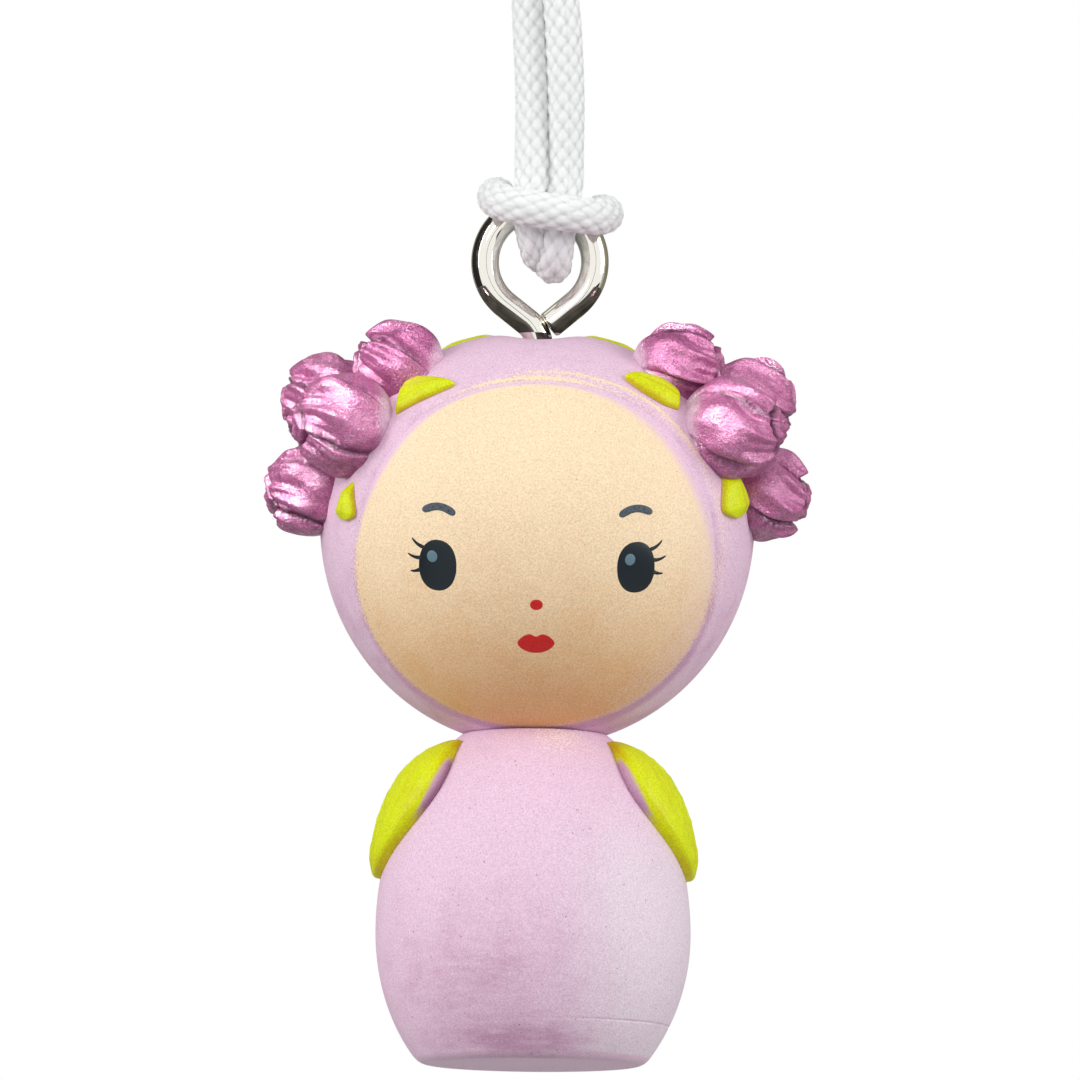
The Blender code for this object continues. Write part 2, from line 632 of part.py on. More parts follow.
def make_paint():
    return {
        "lilac": make_material("lilac_paint", (0.72, 0.53, 0.71), 0.55),
        "cream": make_material("cream_paint", (0.90, 0.72, 0.45), 0.55),
        "lime": make_material("lime_paint", (0.58, 0.70, 0.01), 0.5),
        "pearl": make_material("pearl_paint", (0.47, 0.14, 0.37), 0.3, 0.4),
        "nickel": make_material("nickel", (0.75, 0.74, 0.72), 0.12, 1.0),
        "cord": make_material("white_cord", (0.85, 0.85, 0.86), 0.6),
        "wood": make_material("dowel_wood", (0.62, 0.45, 0.28), 0.7),
    }


def main():
    clear_scene()
    paint = make_paint()
    hang = make_empty("hang_point", HANG_POINT)
    hitch = make_empty("hitch_pivot", HITCH_PIVOT, hang)
    doll = make_empty("eye_pivot", EYE_CENTRE, hitch)
    seat, bore = build_body(doll, paint)
    build_head(doll, paint, bore)
    build_blossoms(doll, paint, seat)
    build_eye(doll, paint)
    build_cord(hang, hitch, paint)


main()
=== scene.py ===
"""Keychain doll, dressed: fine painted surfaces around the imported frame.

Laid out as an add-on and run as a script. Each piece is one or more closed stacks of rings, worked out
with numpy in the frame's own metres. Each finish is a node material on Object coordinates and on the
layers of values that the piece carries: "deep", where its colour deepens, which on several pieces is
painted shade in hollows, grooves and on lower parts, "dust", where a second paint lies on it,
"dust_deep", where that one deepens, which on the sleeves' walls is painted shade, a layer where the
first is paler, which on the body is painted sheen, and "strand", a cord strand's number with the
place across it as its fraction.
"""

import json
import math
from collections import namedtuple

import bpy
import numpy as np
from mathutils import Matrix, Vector


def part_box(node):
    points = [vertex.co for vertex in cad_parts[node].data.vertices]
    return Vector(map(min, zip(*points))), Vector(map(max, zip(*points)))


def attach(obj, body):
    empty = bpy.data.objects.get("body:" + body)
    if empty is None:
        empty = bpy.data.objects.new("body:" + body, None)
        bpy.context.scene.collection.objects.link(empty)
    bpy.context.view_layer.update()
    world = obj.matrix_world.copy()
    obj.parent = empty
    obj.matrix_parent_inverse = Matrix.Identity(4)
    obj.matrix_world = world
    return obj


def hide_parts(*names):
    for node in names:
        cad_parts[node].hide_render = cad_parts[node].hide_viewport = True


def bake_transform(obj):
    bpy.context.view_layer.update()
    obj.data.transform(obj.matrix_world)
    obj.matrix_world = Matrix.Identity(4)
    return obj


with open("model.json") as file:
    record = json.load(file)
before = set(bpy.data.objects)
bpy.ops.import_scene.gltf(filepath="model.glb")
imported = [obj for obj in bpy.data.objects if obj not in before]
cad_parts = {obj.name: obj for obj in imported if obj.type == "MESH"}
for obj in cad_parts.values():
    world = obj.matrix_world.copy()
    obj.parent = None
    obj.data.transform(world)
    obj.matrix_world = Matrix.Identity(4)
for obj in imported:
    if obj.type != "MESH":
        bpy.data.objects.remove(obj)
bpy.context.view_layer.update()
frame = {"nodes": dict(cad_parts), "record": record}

bl_info = {
    "name": "Keychain Doll",
    "version": (1, 0, 0),
    "blender": (4, 5, 0),
    "location": "View3D > Sidebar > Doll",
    "description": "Dresses the packed keychain doll in fine painted surfaces",
    "category": "Object",
}

MM = 0.001
TURN = 2.0 * math.pi
UP = np.array((0.0, 0.0, 1.0))
MOUNTS = {mount["name"]: mount for mount in frame["record"]["mounts"]}
JOINTS = {joint["name"]: joint for joint in frame["record"]["behaviour"]["joints"]}
FOOT = np.array(MOUNTS["base"]["pos_m"])
EYE_CENTRE = np.array(JOINTS["eye_sway"]["pos_m"])
SIDES = {"left": -1.0, "right": 1.0}

# Fineness of the meshes: columns round a piece, and steps along the wire and the cord
BODY_COLUMNS = 288
HOOD_COLUMNS = 300
FACE_COLUMNS = 240
WIRE_COLUMNS = 56
STRAND_COLUMNS = 9
WIRE_STEP = 0.07 * MM
CORD_STEP = 0.105 * MM

# The cord's clearance to the eye's wire
CORD_GAP = 0.28 * MM


# Properties


def size(name, description, millimetres):
    """A length, given in millimetres and kept in metres."""
    return bpy.props.FloatProperty(
        name=name, description=description, default=millimetres * MM, unit="LENGTH", precision=5
    )


def angle(name, description, degrees):
    """An angle, given in degrees and kept in radians."""
    return bpy.props.FloatProperty(
        name=name, description=description, default=math.radians(degrees), subtype="ANGLE"
    )


def share(name, description, value):
    """A plain ratio."""
    return bpy.props.FloatProperty(name=name, description=description, default=value, subtype="FACTOR")


def count(name, description, value):
    """A whole number from 1 on."""
    return bpy.props.IntProperty(name=name, description=description, default=value, min=1)


def tint(name, description, red, green, blue):
    """A colour given as the 0 to 255 values of a screen, kept as linear light."""
    screen = np.array((red, green, blue)) / 255.0
    linear = np.where(screen <= 0.04045, screen / 12.92, ((screen + 0.055) / 1.055) ** 2.4)
    return bpy.props.FloatVectorProperty(
        name=name, description=description, default=(*linear, 1.0), subtype="COLOR", size=4, min=0.0, max=1.0
    )


def half_width(node):
    """Half a CAD node's width along X, in millimetres."""
    low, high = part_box(node)
    return (high[0] - low[0]) / 2.0 / MM


class DollSizes(bpy.types.PropertyGroup):
    """Sizes of the cast body, head, face and sleeves."""

    base_radius: size("Base radius", "Radius of the egg where the base cuts it", 6.9)
    base_round: size("Base round", "Height of the base's rounded edge", 0.5)
    body_radius: size("Body radius", "Widest radius of the egg", half_width("body"))
    body_widest: size("Widest level", "Height of the egg's widest level", 8.0)
    neck_radius: size("Neck radius", "Radius of the egg at the neck", 4.6)
    neck_height: size("Neck height", "Height of the neck above the base", 20.2)
    seam_height: size("Seam height", "Height of the mould's parting line", 2.4)
    seam_depth: size("Seam depth", "Depth of the mould's parting line", 0.045)
    seat_gap: size("Seat gap", "Gap between the head and the body's seat", 0.04)
    head_half_width: size("Head half width", "Half the head's width", half_width("head"))
    head_half_depth: size("Head half depth", "Half the head's depth", 12.6)
    head_crown: size("Crown", "Height of the head above its middle", 11.9)
    head_chin: size("Chin", "Height of the head below its middle", 13.7)
    head_fit: size("Head fit", "Clearance at the neck that sets the head's height", 0.25)
    dimple_depth: size("Dimple depth", "Depth of the dimple round the screw", 0.9)
    dimple_spread: size("Dimple spread", "Reach of the dimple round the screw, to the sides", 1.8)
    dimple_stretch: share("Dimple stretch", "Times further that the dimple reaches to front and back", 1.9)
    face_margin: size("Face margin", "Width of the hood beside the face, seen from its front", 2.35)
    face_depth: size("Face depth", "Depth of the pocket that holds the face", 6.4)
    face_inset: size("Face inset", "How far the face lies below the hood", 0.12)
    face_tilt: angle("Face tilt", "How far the face looks down", 18.0)
    lip_width: size("Lip width", "Width of the hood's rounded lip round the face", 0.9)
    sleeve_top_azimuth: angle("Sleeve top", "Way the sleeve's top faces, from the front", 64.0)
    sleeve_tip_azimuth: angle("Sleeve tip", "Way the sleeve's tip faces, from the front", 88.0)
    sleeve_drop: size("Sleeve drop", "Drop from the neck to the sleeve's top", 0.5)
    sleeve_length: size("Sleeve length", "Height from the sleeve's top to its tip", 8.4)
    sleeve_half_width: size("Sleeve half width", "Half the sleeve's width round the egg", 3.5)
    sleeve_tip_width: size("Sleeve tip width", "Half the sleeve's width at its ends", 0.55)
    sleeve_thickness: size("Sleeve thickness", "Height of the sleeve's middle off the body", 1.32)
    sleeve_thinning: size("Sleeve thinning", "How much less the sleeve's height is at its tip", 0.42)
    sleeve_edge: size("Sleeve edge", "Height of the sleeve's edge off the body", 0.62)
    sleeve_sink: size("Sleeve sink", "How far the sleeve's underside lies in the body", 0.12)
    vein_height: size("Vein height", "Height of the veins on the sleeves", 0.06)
    film: size("Paint film", "Thickness of the painted features on the face", 0.03)


class GarlandSizes(bpy.types.PropertyGroup):
    """Sizes of the blossoms and leaves on the hood."""

    blossom_radius: size("Blossom radius", "Radius of a blossom", 2.9)
    blossom_pitch: size("Blossom pitch", "Step between blossoms in a cluster", 6.3)
    cluster_azimuth: angle("Cluster azimuth", "Way a cluster faces, from the front", 82.0)
    cluster_elevation: angle("Cluster elevation", "How far up the head a cluster sits", 31.0)
    petals: count("Petals", "Petals in each ring of a blossom", 4)
    petal_step: share("Petal step", "Drop from one petal to the next, as a share of the radius", 0.15)
    petal_lean: share("Petal lean", "Lean of the petals, in petals for each radian from the tip", 0.3)
    petal_rim: angle("Petal rim", "Angle from the tip to the outer petals' rim", 35.0)
    petal_scallop: angle("Petal scallop", "How far each petal's rim bows", 9.0)
    petal_curl: share("Petal curl", "Flare of a petal's free edge, as a share of the radius", 0.03)
    petal_pleat: share("Petal pleat", "Height of the pleats on a petal, as a share of the radius", 0.065)
    mouth_share: share("Mouth share", "Radius of the bud inside the outer petals, as a share", 0.95)
    mouth_depth: share("Mouth depth", "Depth of the gap inside the outer petals, as a share", 0.16)
    blossom_lean: share("Blossom lean", "How far a blossom turns from the head's normal to its side", 1.4)
    blossom_droop: share("Blossom droop", "How far a blossom turns down", 0.5)
    blossom_trail: share("Blossom trail", "How far a blossom turns to the back", 0.35)
    blossom_spin: angle("Blossom spin", "Turn from one blossom to the next", 74.5)
    leaf_tip_width: size("Leaf tip width", "Half a leaf's width at its ends", 0.1)
    leaf_thickness: size("Leaf thickness", "Height of a leaf's middle off the head", 0.8)
    leaf_edge: size("Leaf edge", "Height of a leaf's edge off the head", 0.4)
    leaf_sink: size("Leaf sink", "How far a leaf's underside lies in the head", 0.15)


class HangerSizes(bpy.types.PropertyGroup):
    """Sizes of the screw eye and the cord."""

    eye_wire: size("Eye wire", "Diameter of the screw eye's wire", 1.7)
    eye_ring: size("Eye ring", "Radius of the eye, at the middle of its wire", 3.38)
    eye_shank: size("Eye shank", "Length of the shank below the crown", 9.0)
    eye_point: size("Eye point", "Length of the shank's taper", 2.0)
    eye_bend: size("Eye bend", "Reach of the bend between shank and ring", 1.0)
    eye_leg_angle: angle("Eye leg angle", "Where the ring turns into the shank", 232.0)
    eye_end_angle: angle("Eye end angle", "Where the ring's open end leaves the round", -50.0)
    eye_tail: size("Eye tail", "Straight run of the ring's open end, up to the leg", 2.1)
    thread_pitch: size("Thread pitch", "Pitch of the screw's thread", 0.8)
    thread_depth: share("Thread depth", "Depth of the thread, as a share of the wire's radius", 0.22)
    cord_diameter: size("Cord diameter", "Diameter of the braided cord", 2.15)
    strand_x: size("Strand offset", "Half the distance between the two strands", 1.0)
    strand_shift: size("Strand shift", "How far the strands hang to the right of the eye's middle", 0.5)
    strand_lap: size("Strand lap", "How far the right strand lies in front, and the left one behind", 0.4)
    left_pass: size("Left pass", "Height of the left turn through the eye, above its middle", 0.5)
    right_pass: size("Right pass", "Height of the right turn through the eye, above its middle", -0.2)
    hitch_top: size("Hitch top", "Top of the hitch above the eye's middle", 5.9)
    loop_inner_top: size("Loop inner top", "Inner top of the loop above the eye's middle", 31.6)
    braid_strands: count("Braid strands", "Strands of the braid in each direction", 8)
    braid_pitch: size("Braid pitch", "Step between strands along the cord", 1.15)
    braid_relief: share("Braid relief", "Height of the braid, as a share of the cord's radius", 0.2)


class DollColours(bpy.types.PropertyGroup):
    """Colours of the paints, the metal and the cord."""

    lilac: tint("Lilac", "Hood and body", 236, 202, 224)
    # Deep lilac: mottling of hood and body, darker patches low on the body's front, the lilac on the walls of
    # sleeves and leaves, and painted shade in the groove round the face, on the lower hood and in the parting
    # line.
    lilac_deep: tint("Deep lilac", "Mottling of hood and body", 206, 160, 190)
    mauve: tint("Mauve", "Shaded wall of the sleeves", 158, 108, 136)
    pale: tint("Pale lilac", "Worn paint at the neck", 250, 228, 226)
    # A paler lilac on the body's right: painted sheen, where light falls from the right.
    worn: tint("Worn lilac", "Thin paint on the body's right", 234, 220, 231)
    cream: tint("Cream", "Face", 253, 227, 190)
    # Deep cream: mottling, and the darkening towards the chin, which is partly painted shade.
    cream_deep: tint("Deep cream", "Lower part of the face", 234, 182, 126)
    lime: tint("Lime", "Sleeves and leaves", 220, 232, 6)
    # Deep lime: painted shade at the sleeves' tops under the head and in the leaves' folds, and the darker
    # edges of the leaves.
    lime_deep: tint("Deep lime", "Tops of the sleeves, and edges and folds of the leaves", 206, 176, 10)
    pearl: tint("Pearl", "Petals", 184, 98, 148)
    # Deep pearl: mottling, and painted shade in the hollows between petals and on the blossoms' lower parts.
    pearl_deep: tint("Deep pearl", "Hollows between petals", 106, 24, 80)
    nickel: tint("Nickel", "Screw eye", 242, 239, 230)
    cord: tint("Cord", "Braided cord", 244, 247, 246)
    # Painted shade in the gaps between the cord's strands.
    cord_gap_shade: tint("Deep cord", "Gaps between the cord's strands", 226, 227, 228)
    navy: tint("Navy", "Painted eyes and lashes", 14, 26, 34)
    glint: tint("Glint", "Painted lights in the eyes", 96, 124, 136)
    brow: tint("Brow", "Painted brows", 78, 88, 98)
    red: tint("Red", "Painted nose and lips", 205, 32, 30)
    red_deep: tint("Deep red", "Mottling of the red paint", 176, 22, 24)
    wood: tint("Wood", "Dowel in the neck", 206, 170, 120)
    wood_deep: tint("Dark wood", "Grain of the dowel", 170, 128, 82)
    floor: tint("Floor", "Floor under the doll", 246, 246, 246)


# Forms


def unit(vectors):
    """Vectors scaled to a length of 1."""
    return vectors / np.linalg.norm(vectors, axis=-1, keepdims=True)


def ease(value):
    """Smooth step: 0 up to 0, 1 from 1 on, with level ends between."""
    held = np.clip(value, 0.0, 1.0)
    return held * held * (3.0 - 2.0 * held)


def hump(value):
    """A bell: 1 at 0, falling to nothing over about two units."""
    return np.exp(-value * value)


def window(value, low, high, low_soft, high_soft):
    """0 past two limits and 1 between them, eased over a softness inside each."""
    return ease((value - low) / low_soft) * ease((high - value) / high_soft)


def rounded_edge(place, power, root):
    """1 inside and 0 at -1 and 1: one minus a power of the place, and the root of that."""
    return np.clip(1.0 - np.abs(place) ** power, 0.0, 1.0) ** root


def around(columns):
    """Even angles round a full turn."""
    return np.linspace(0.0, TURN, columns, endpoint=False)


def ring_faces(rings, first):
    """Corner lists of a stack of rings: quads between rings, then a fan at each end."""
    rows, columns = rings.shape[:2]
    grid = first + np.arange(rows * columns).reshape(rows, columns)
    after = np.roll(grid, -1, axis=1)
    poles = first + rows * columns + np.arange(2)
    quads = np.stack([grid[:-1], after[:-1], after[1:], grid[1:]], axis=-1).reshape(-1, 4)
    start = np.stack([after[0], grid[0], np.full(columns, poles[0])], axis=-1)
    end = np.stack([grid[-1], after[-1], np.full(columns, poles[1])], axis=-1)
    return quads, np.vstack([start, end])


def with_poles(values):
    """A stack's values as one list, with the means of its first and last ring after them."""
    ends = np.stack([values[0].mean(axis=0), values[-1].mean(axis=0)])
    return np.concatenate([values.reshape(-1, *values.shape[2:]), ends])


def ring_mesh(name, stacks):
    """One mesh from stacks of closed rings, each with its layers of values.

    A stack whose faces come out inside out, which its signed volume tells, has them turned round.
    """
    points, quads, fans, layers = [], [], [], {}
    first = 0
    for rings, values in stacks:
        stack_points = with_poles(rings)
        four, three = ring_faces(rings, 0)
        a, b, c, d = (stack_points[four[:, k]] - rings.mean(axis=(0, 1)) for k in range(4))
        volume = np.sum(np.cross(a, b) * c) + np.sum(np.cross(a, c) * d)
        if volume < 0.0:
            four, three = four[:, ::-1], three[:, ::-1]
        points.append(stack_points)
        quads.append(four + first)
        fans.append(three + first)
        for key, value in values.items():
            layers.setdefault(key, []).append(with_poles(value))
        first += len(stack_points)
    quads, fans = np.vstack(quads), np.vstack(fans)
    corners = np.concatenate([quads.ravel(), fans.ravel()])
    starts = np.concatenate([np.arange(len(quads)) * 4, quads.size + np.arange(len(fans)) * 3])
    mesh = bpy.data.meshes.new(name)
    mesh.vertices.add(first)
    mesh.vertices.foreach_set("co", np.concatenate(points).astype(np.float32).ravel())
    mesh.loops.add(len(corners))
    mesh.loops.foreach_set("vertex_index", corners.astype(np.int32))
    mesh.polygons.add(len(starts))
    mesh.polygons.foreach_set("loop_start", starts.astype(np.int32))
    mesh.update(calc_edges=True)
    for key, values in layers.items():
        attribute = mesh.attributes.new(key, "FLOAT", "POINT")
        attribute.data.foreach_set("value", np.concatenate(values).astype(np.float32))
    mesh.shade_smooth()
    return mesh


def add_object(name, data):
    """An object for its data, linked into the scene."""
    made = bpy.data.objects.new(name, data)
    bpy.context.collection.objects.link(made)
    return made


def add_piece(name, stacks, material):
    """A finished object at the origin, with its material."""
    mesh = ring_mesh(name, stacks)
    mesh.materials.append(material)
    piece = add_object(name, mesh)
    return piece


def petal_group():
    """The group of pieces that the petal lamps shine on."""
    return bpy.data.collections.get("petals") or bpy.data.collections.new("petals")


def add_doll_piece(name, stacks, material, slot, *nodes):
    """A piece that moves with the doll and stands for the CAD nodes named."""
    piece = add_piece(name, stacks, material)
    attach(piece, "doll")
    if nodes:
        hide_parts(*nodes)
    return piece


def spun(radius, height, turn):
    """Rings about the doll's axis from a profile; turn 0 faces front, and it grows to the right."""
    radius, height, turn = np.broadcast_arrays(radius, height, turn)
    return FOOT + np.stack([radius * np.sin(turn), -radius * np.cos(turn), height], axis=-1)


# Body and head


def egg_half(doll, above):
    """Half height of the egg's ellipse: one above its widest level, and another below it."""
    lower = doll.body_widest / math.sqrt(1.0 - (doll.base_radius / doll.body_radius) ** 2)
    rise = doll.neck_height - doll.body_widest
    upper = rise / math.sqrt(1.0 - (doll.neck_radius / doll.body_radius) ** 2)
    return np.where(above > 0.0, upper, lower)


def egg_profile(doll, slope):
    """Radius and height of the egg at an angle above its widest level: two half ellipses."""
    return doll.body_radius * np.cos(slope), doll.body_widest + egg_half(doll, slope) * np.sin(slope)


def egg_slope(doll, height):
    """The egg's angle at a height."""
    above = height - doll.body_widest
    return np.arcsin(np.clip(above / egg_half(doll, above), -1.0, 1.0))


def head_middle(doll):
    """The head's middle, at the height where its chin meets the neck's rim with a clearance."""
    drop = doll.head_chin * math.sqrt(1.0 - (doll.neck_radius / doll.head_half_width) ** 2)
    return FOOT + UP * (doll.neck_height + drop + doll.head_fit)


def head_axes(doll, way):
    """The head's half axes for a direction: the crown is flatter than the chin."""
    height = np.where(way[..., 2] > 0.0, doll.head_crown, doll.head_chin)
    sides = np.broadcast_arrays(doll.head_half_width, doll.head_half_depth, height)
    return np.stack(sides, axis=-1)


def on_head(doll, points):
    """Points drawn in along the line to the head's middle onto its ellipsoid, and the normals there."""
    offset = points - head_middle(doll)
    axes = head_axes(doll, offset)
    ball = unit(offset / axes)
    return head_middle(doll) + ball * axes, unit(ball / axes)


def under_head(doll, points):
    """Points let down to the head's underside wherever they would stand in it."""
    offset = points - head_middle(doll)
    flat = (offset[..., 0] / doll.head_half_width) ** 2 + (offset[..., 1] / doll.head_half_depth) ** 2
    underside = -doll.head_chin * np.sqrt(np.clip(1.0 - flat, 0.0, 1.0)) - doll.seat_gap
    low = np.array(points)
    low[..., 2] = np.where(offset[..., 2] > underside, head_middle(doll)[2] + underside, low[..., 2])
    return low


def sleeve_place(doll, along):
    """The sleeve's middle line on the egg, from its top at 0 to its tip at 1: slope and azimuth."""
    top = doll.neck_height - doll.sleeve_drop
    first, last = egg_slope(doll, np.array((top, top - doll.sleeve_length)))
    azimuth = doll.sleeve_top_azimuth + (doll.sleeve_tip_azimuth - doll.sleeve_top_azimuth) * along
    return first + (last - first) * along, azimuth


def leaf_width(along, half, tip):
    """Half the width of a leaf from its foot at 0 to its tip at 1: a skewed sine arch, rounded off."""
    arch = tip + (half - tip) * np.sin(math.pi * along**1.15)
    round_from = 0.93
    rounding = np.clip((along - round_from) / (1.0 - round_from), 0.0, 1.0)
    return arch * np.sqrt(1.0 - rounding * rounding)


def leaf_grid(tip_from, rows, tip_rows, wall, wall_columns, columns, under_columns):
    """A leaf's places along and across it, and which columns lie on its top.

    Along runs from 0 at its foot to 1 at its tip. Across runs over it from -1 to 1, and back under it.
    Rows crowd from tip_from on, and columns crowd in the walls, whose width is a share of the half width.
    """
    along = np.concatenate([np.linspace(0.0, tip_from, rows), np.linspace(tip_from, 1.0, tip_rows)[1:-1]])
    edge = 1.0 - wall * np.linspace(1.0, 0.0, wall_columns) ** 2
    flat = np.linspace(wall - 1.0, 1.0 - wall, columns)[1:-1]
    over = np.concatenate([-edge[::-1], flat, edge])
    under = np.linspace(1.0, -1.0, under_columns)[1:-1]
    across = np.concatenate([over, under])
    on_top = np.concatenate([np.ones(len(over)), np.zeros(len(under))])
    return along[:, None], across[None], on_top[None]


def body_profile(doll):
    """Radius and height of the body's outline, from the base's middle up, as two columns.

    The flat base ends in a quadratic curve up to the egg. Rows crowd at the parting line and the neck.
    """
    edge = doll.base_radius - doll.base_round
    bend = np.linspace(0.0, 1.0, 10)[1:-1]
    side, _ = egg_profile(doll, egg_slope(doll, np.array(doll.base_round)))
    flat = np.linspace(0.12, 1.0, 8) * edge
    bend_radius = (1 - bend) ** 2 * edge + 2 * bend * (1 - bend) * doll.base_radius + bend**2 * side
    seam_heights = doll.seam_height + np.linspace(-0.25, 0.25, 21) * MM
    foot, seam, neck = (
        egg_slope(doll, np.array(height)) for height in (doll.base_round, seam_heights, doll.neck_height)
    )
    slopes = np.concatenate(
        [
            np.linspace(foot, seam[0], 12, endpoint=False),
            seam,
            np.linspace(seam[-1], neck - 0.04, 90)[1:],
            np.linspace(neck - 0.04, neck + 0.06, 40)[1:],
            np.linspace(neck + 0.06, 0.5 * math.pi - 0.03, 10)[1:],
        ]
    )
    egg_radius, egg_height = egg_profile(doll, slopes)
    radius = np.concatenate([flat, bend_radius, egg_radius])
    height = np.concatenate([0.0 * flat, bend**2 * doll.base_round, egg_height])
    return radius[:, None], height[:, None]


def body_layers(doll, radius, height, turn, groove):
    """The body's layers of paint.

    Dust is lime sprayed past the lower edge of the right sleeve, and pale paint at the neck. Deep
    darkens the body low on the front-left and in a band low on the front, and is painted shade in the
    parting line's groove. The paler colour on the right is painted sheen, where light falls from the right.
    """
    facing = np.arctan2(np.sin(turn), np.cos(turn))
    low = 1.0 - height / doll.neck_height
    along = np.clip((doll.neck_height - doll.sleeve_drop - height) / doll.sleeve_length, 0.0, 1.0)
    _, azimuth = sleeve_place(doll, along)
    width = leaf_width(along, doll.sleeve_half_width, doll.sleeve_tip_width)
    past = np.abs(np.abs(facing) - azimuth) * radius - width
    lower_right = ease(3.0 * np.sin(turn)) * ease(2.6 * along - 0.8) * ease(8.0 * (1.0 - along))
    spray = hump((past - 0.05 * MM) / (0.2 * MM)) * lower_right
    at_neck = hump((doll.neck_height - height) / (1.6 * MM)) * hump((turn - 0.35) / 0.55)
    # Darker low on the front-left, and in a band just above the base on the front.
    low_front_dark = hump((low - 0.75) / 0.24) * hump((facing + 0.4) / 0.75)
    band = hump((low - 0.95) / 0.05) * hump((facing + 0.1) / 0.7)
    # Painted sheen: a paler colour on the right, where light falls from the right.
    worn = 0.85 * window(facing, -0.1, 2.6, 0.9, 1.3) * ease((low - 0.15) / 0.35)
    return {
        "dust": 0.34 * spray + 0.5 * at_neck,
        "dust_deep": ease(10.0 * at_neck),
        # Painted shade in the parting line's groove, added to the darker low front.
        "deep": (0.42 * low_front_dark + 0.6 * band + 0.4 * groove / doll.seam_depth) * (height > 0.0),
        "worn": worn * (height > doll.base_round),
    }


def body_stack(doll):
    """The egg spun about its axis: a little lumpy, with a parting line that shows most on the right.

    Where the egg would stand in the head, its points are let down to the head's underside.
    """
    radius, height = body_profile(doll)
    turn = around(BODY_COLUMNS)[None]
    lumps = np.sin(2 * turn + 400 * height) + np.sin(3 * turn - 650 * height + 1.0)
    shown = 0.08 + 0.92 * ease(1.4 * np.sin(turn - 0.05))
    groove = doll.seam_depth * hump((height - doll.seam_height) / (0.06 * MM)) * shown
    on_egg = height > doll.base_round
    rings = spun(radius + on_egg * (0.012 * MM * lumps - groove), height, turn)
    return under_head(doll, rings), body_layers(doll, radius, height, turn, groove)


def sleeve_stack(doll, side):
    """A leaf laid over the shoulder: rings across it, from its top to its tip.

    A ring goes over the leaf, whose lift is a crown that runs out to a rounded wall at the edges, and
    back under it on the body. A midrib, slanting veins and fine fibres stand on it. The dust layer is
    the lilac of the upper front wall, darkened lower down with painted shade, and of a strip along it
    that the lime missed. The deep layer is painted shade at the sleeve's top under the head and along the
    edge by the wall, lighter on the midrib and veins, and streaked by the fibres.
    """
    along, across, on_top = leaf_grid(
        tip_from=0.9, rows=70, tip_rows=26, wall=0.07, wall_columns=14, columns=56, under_columns=14
    )
    crown = rounded_edge(across, 2, 0.5) * ease(8.0 * (1.0 - along))
    thick = doll.sleeve_thickness - doll.sleeve_thinning * ease(2.0 * along - 1.0)
    rise = 0.2 + 0.8 * np.sin(0.5 * math.pi * np.clip(along / 0.42, 0.0, 1.0))
    lift = (doll.sleeve_edge + (thick - doll.sleeve_edge) * crown) * rise
    midrib = across - 0.12
    step = 6.0 * along - 1.9 * np.abs(midrib)
    veins = hump((step - np.round(step)) / 0.10) * ease(2.2 - 2.4 * np.abs(midrib)) * ease(4.0 * along)
    rib = hump(midrib / 0.05) * ease(6.0 * along)
    fibres = np.sin(44.0 * across + 5.0 * along) * np.sin(19.0 * across - 9.0 * along) * ease(6.0 * along)
    relief = doll.vein_height * (rib + 0.7 * veins + 0.4 * fibres) * ease(6.0 * (1.0 - along))
    edges = rounded_edge(across, 12, 0.25) * rounded_edge(2.0 * along - 1.0, 30, 0.5)
    height_off = on_top * (lift + relief) * edges - (1.0 - on_top) * doll.sleeve_sink
    slope, middle = sleeve_place(doll, along)
    radius, height = egg_profile(doll, slope)
    out = unit(np.stack([np.cos(slope) / doll.body_radius, np.sin(slope) / egg_half(doll, slope)], axis=-1))
    width = leaf_width(along, doll.sleeve_half_width, doll.sleeve_tip_width)
    azimuth = middle + across * width / radius
    rings = spun(radius + height_off * out[..., 0], height + height_off * out[..., 1], side * azimuth)
    strip = ease((0.10 * hump((along - 0.38) / 0.32) - 1.0 - across) / 0.09)
    low_wall = (1.0 - ease((height_off / lift - 0.3) / 0.5)) * (across < 0.0)
    missed = ease(6.0 * along - 0.8) * ease(3.0 - 4.0 * along)
    # Painted shade: at the sleeve's top under the head, and along the edge by the wall.
    top_and_edge_shade = 0.8 * hump((along - 0.02) / 0.12) + 0.45 * hump((1.0 + across) / 0.16)
    layers = {
        "dust": np.clip(low_wall + 0.75 * strip, 0.0, 1.0) * missed,
        # Painted shade in mauve on the wall's lower part, more on the left sleeve.
        "dust_deep": low_wall * on_top * (0.6 - 0.3 * side),
        "deep": np.clip(0.7 * top_and_edge_shade - 0.5 * (rib + veins) + 0.12 * fibres, 0.0, 1.0),
    }
    return under_head(doll, rings), layers


def face_axes(doll):
    """The face's own directions: to the right, up along its tilted front, and ahead."""
    lean, level = math.sin(doll.face_tilt), math.cos(doll.face_tilt)
    return np.array((1.0, 0.0, 0.0)), np.array((0.0, -lean, level)), np.array((0.0, -level, -lean))


def face_ways(doll, polar, clock):
    """Directions from the head's middle at an angle off the face's axis and a clock angle round it."""
    right, up, ahead = face_axes(doll)
    flat = np.cos(clock)[..., None] * right + np.sin(clock)[..., None] * up
    return np.cos(polar)[..., None] * ahead + np.sin(polar)[..., None] * flat


def head_reach(doll, ways):
    """Distance from the head's middle to its ellipsoid along unit directions."""
    return 1.0 / np.linalg.norm(ways / head_axes(doll, ways), axis=-1)


def pocket_size(doll):
    """The face's radius, and how far ahead of the head's middle the pocket's floor lies."""
    return doll.head_half_width - doll.face_margin, doll.head_half_depth - doll.face_depth


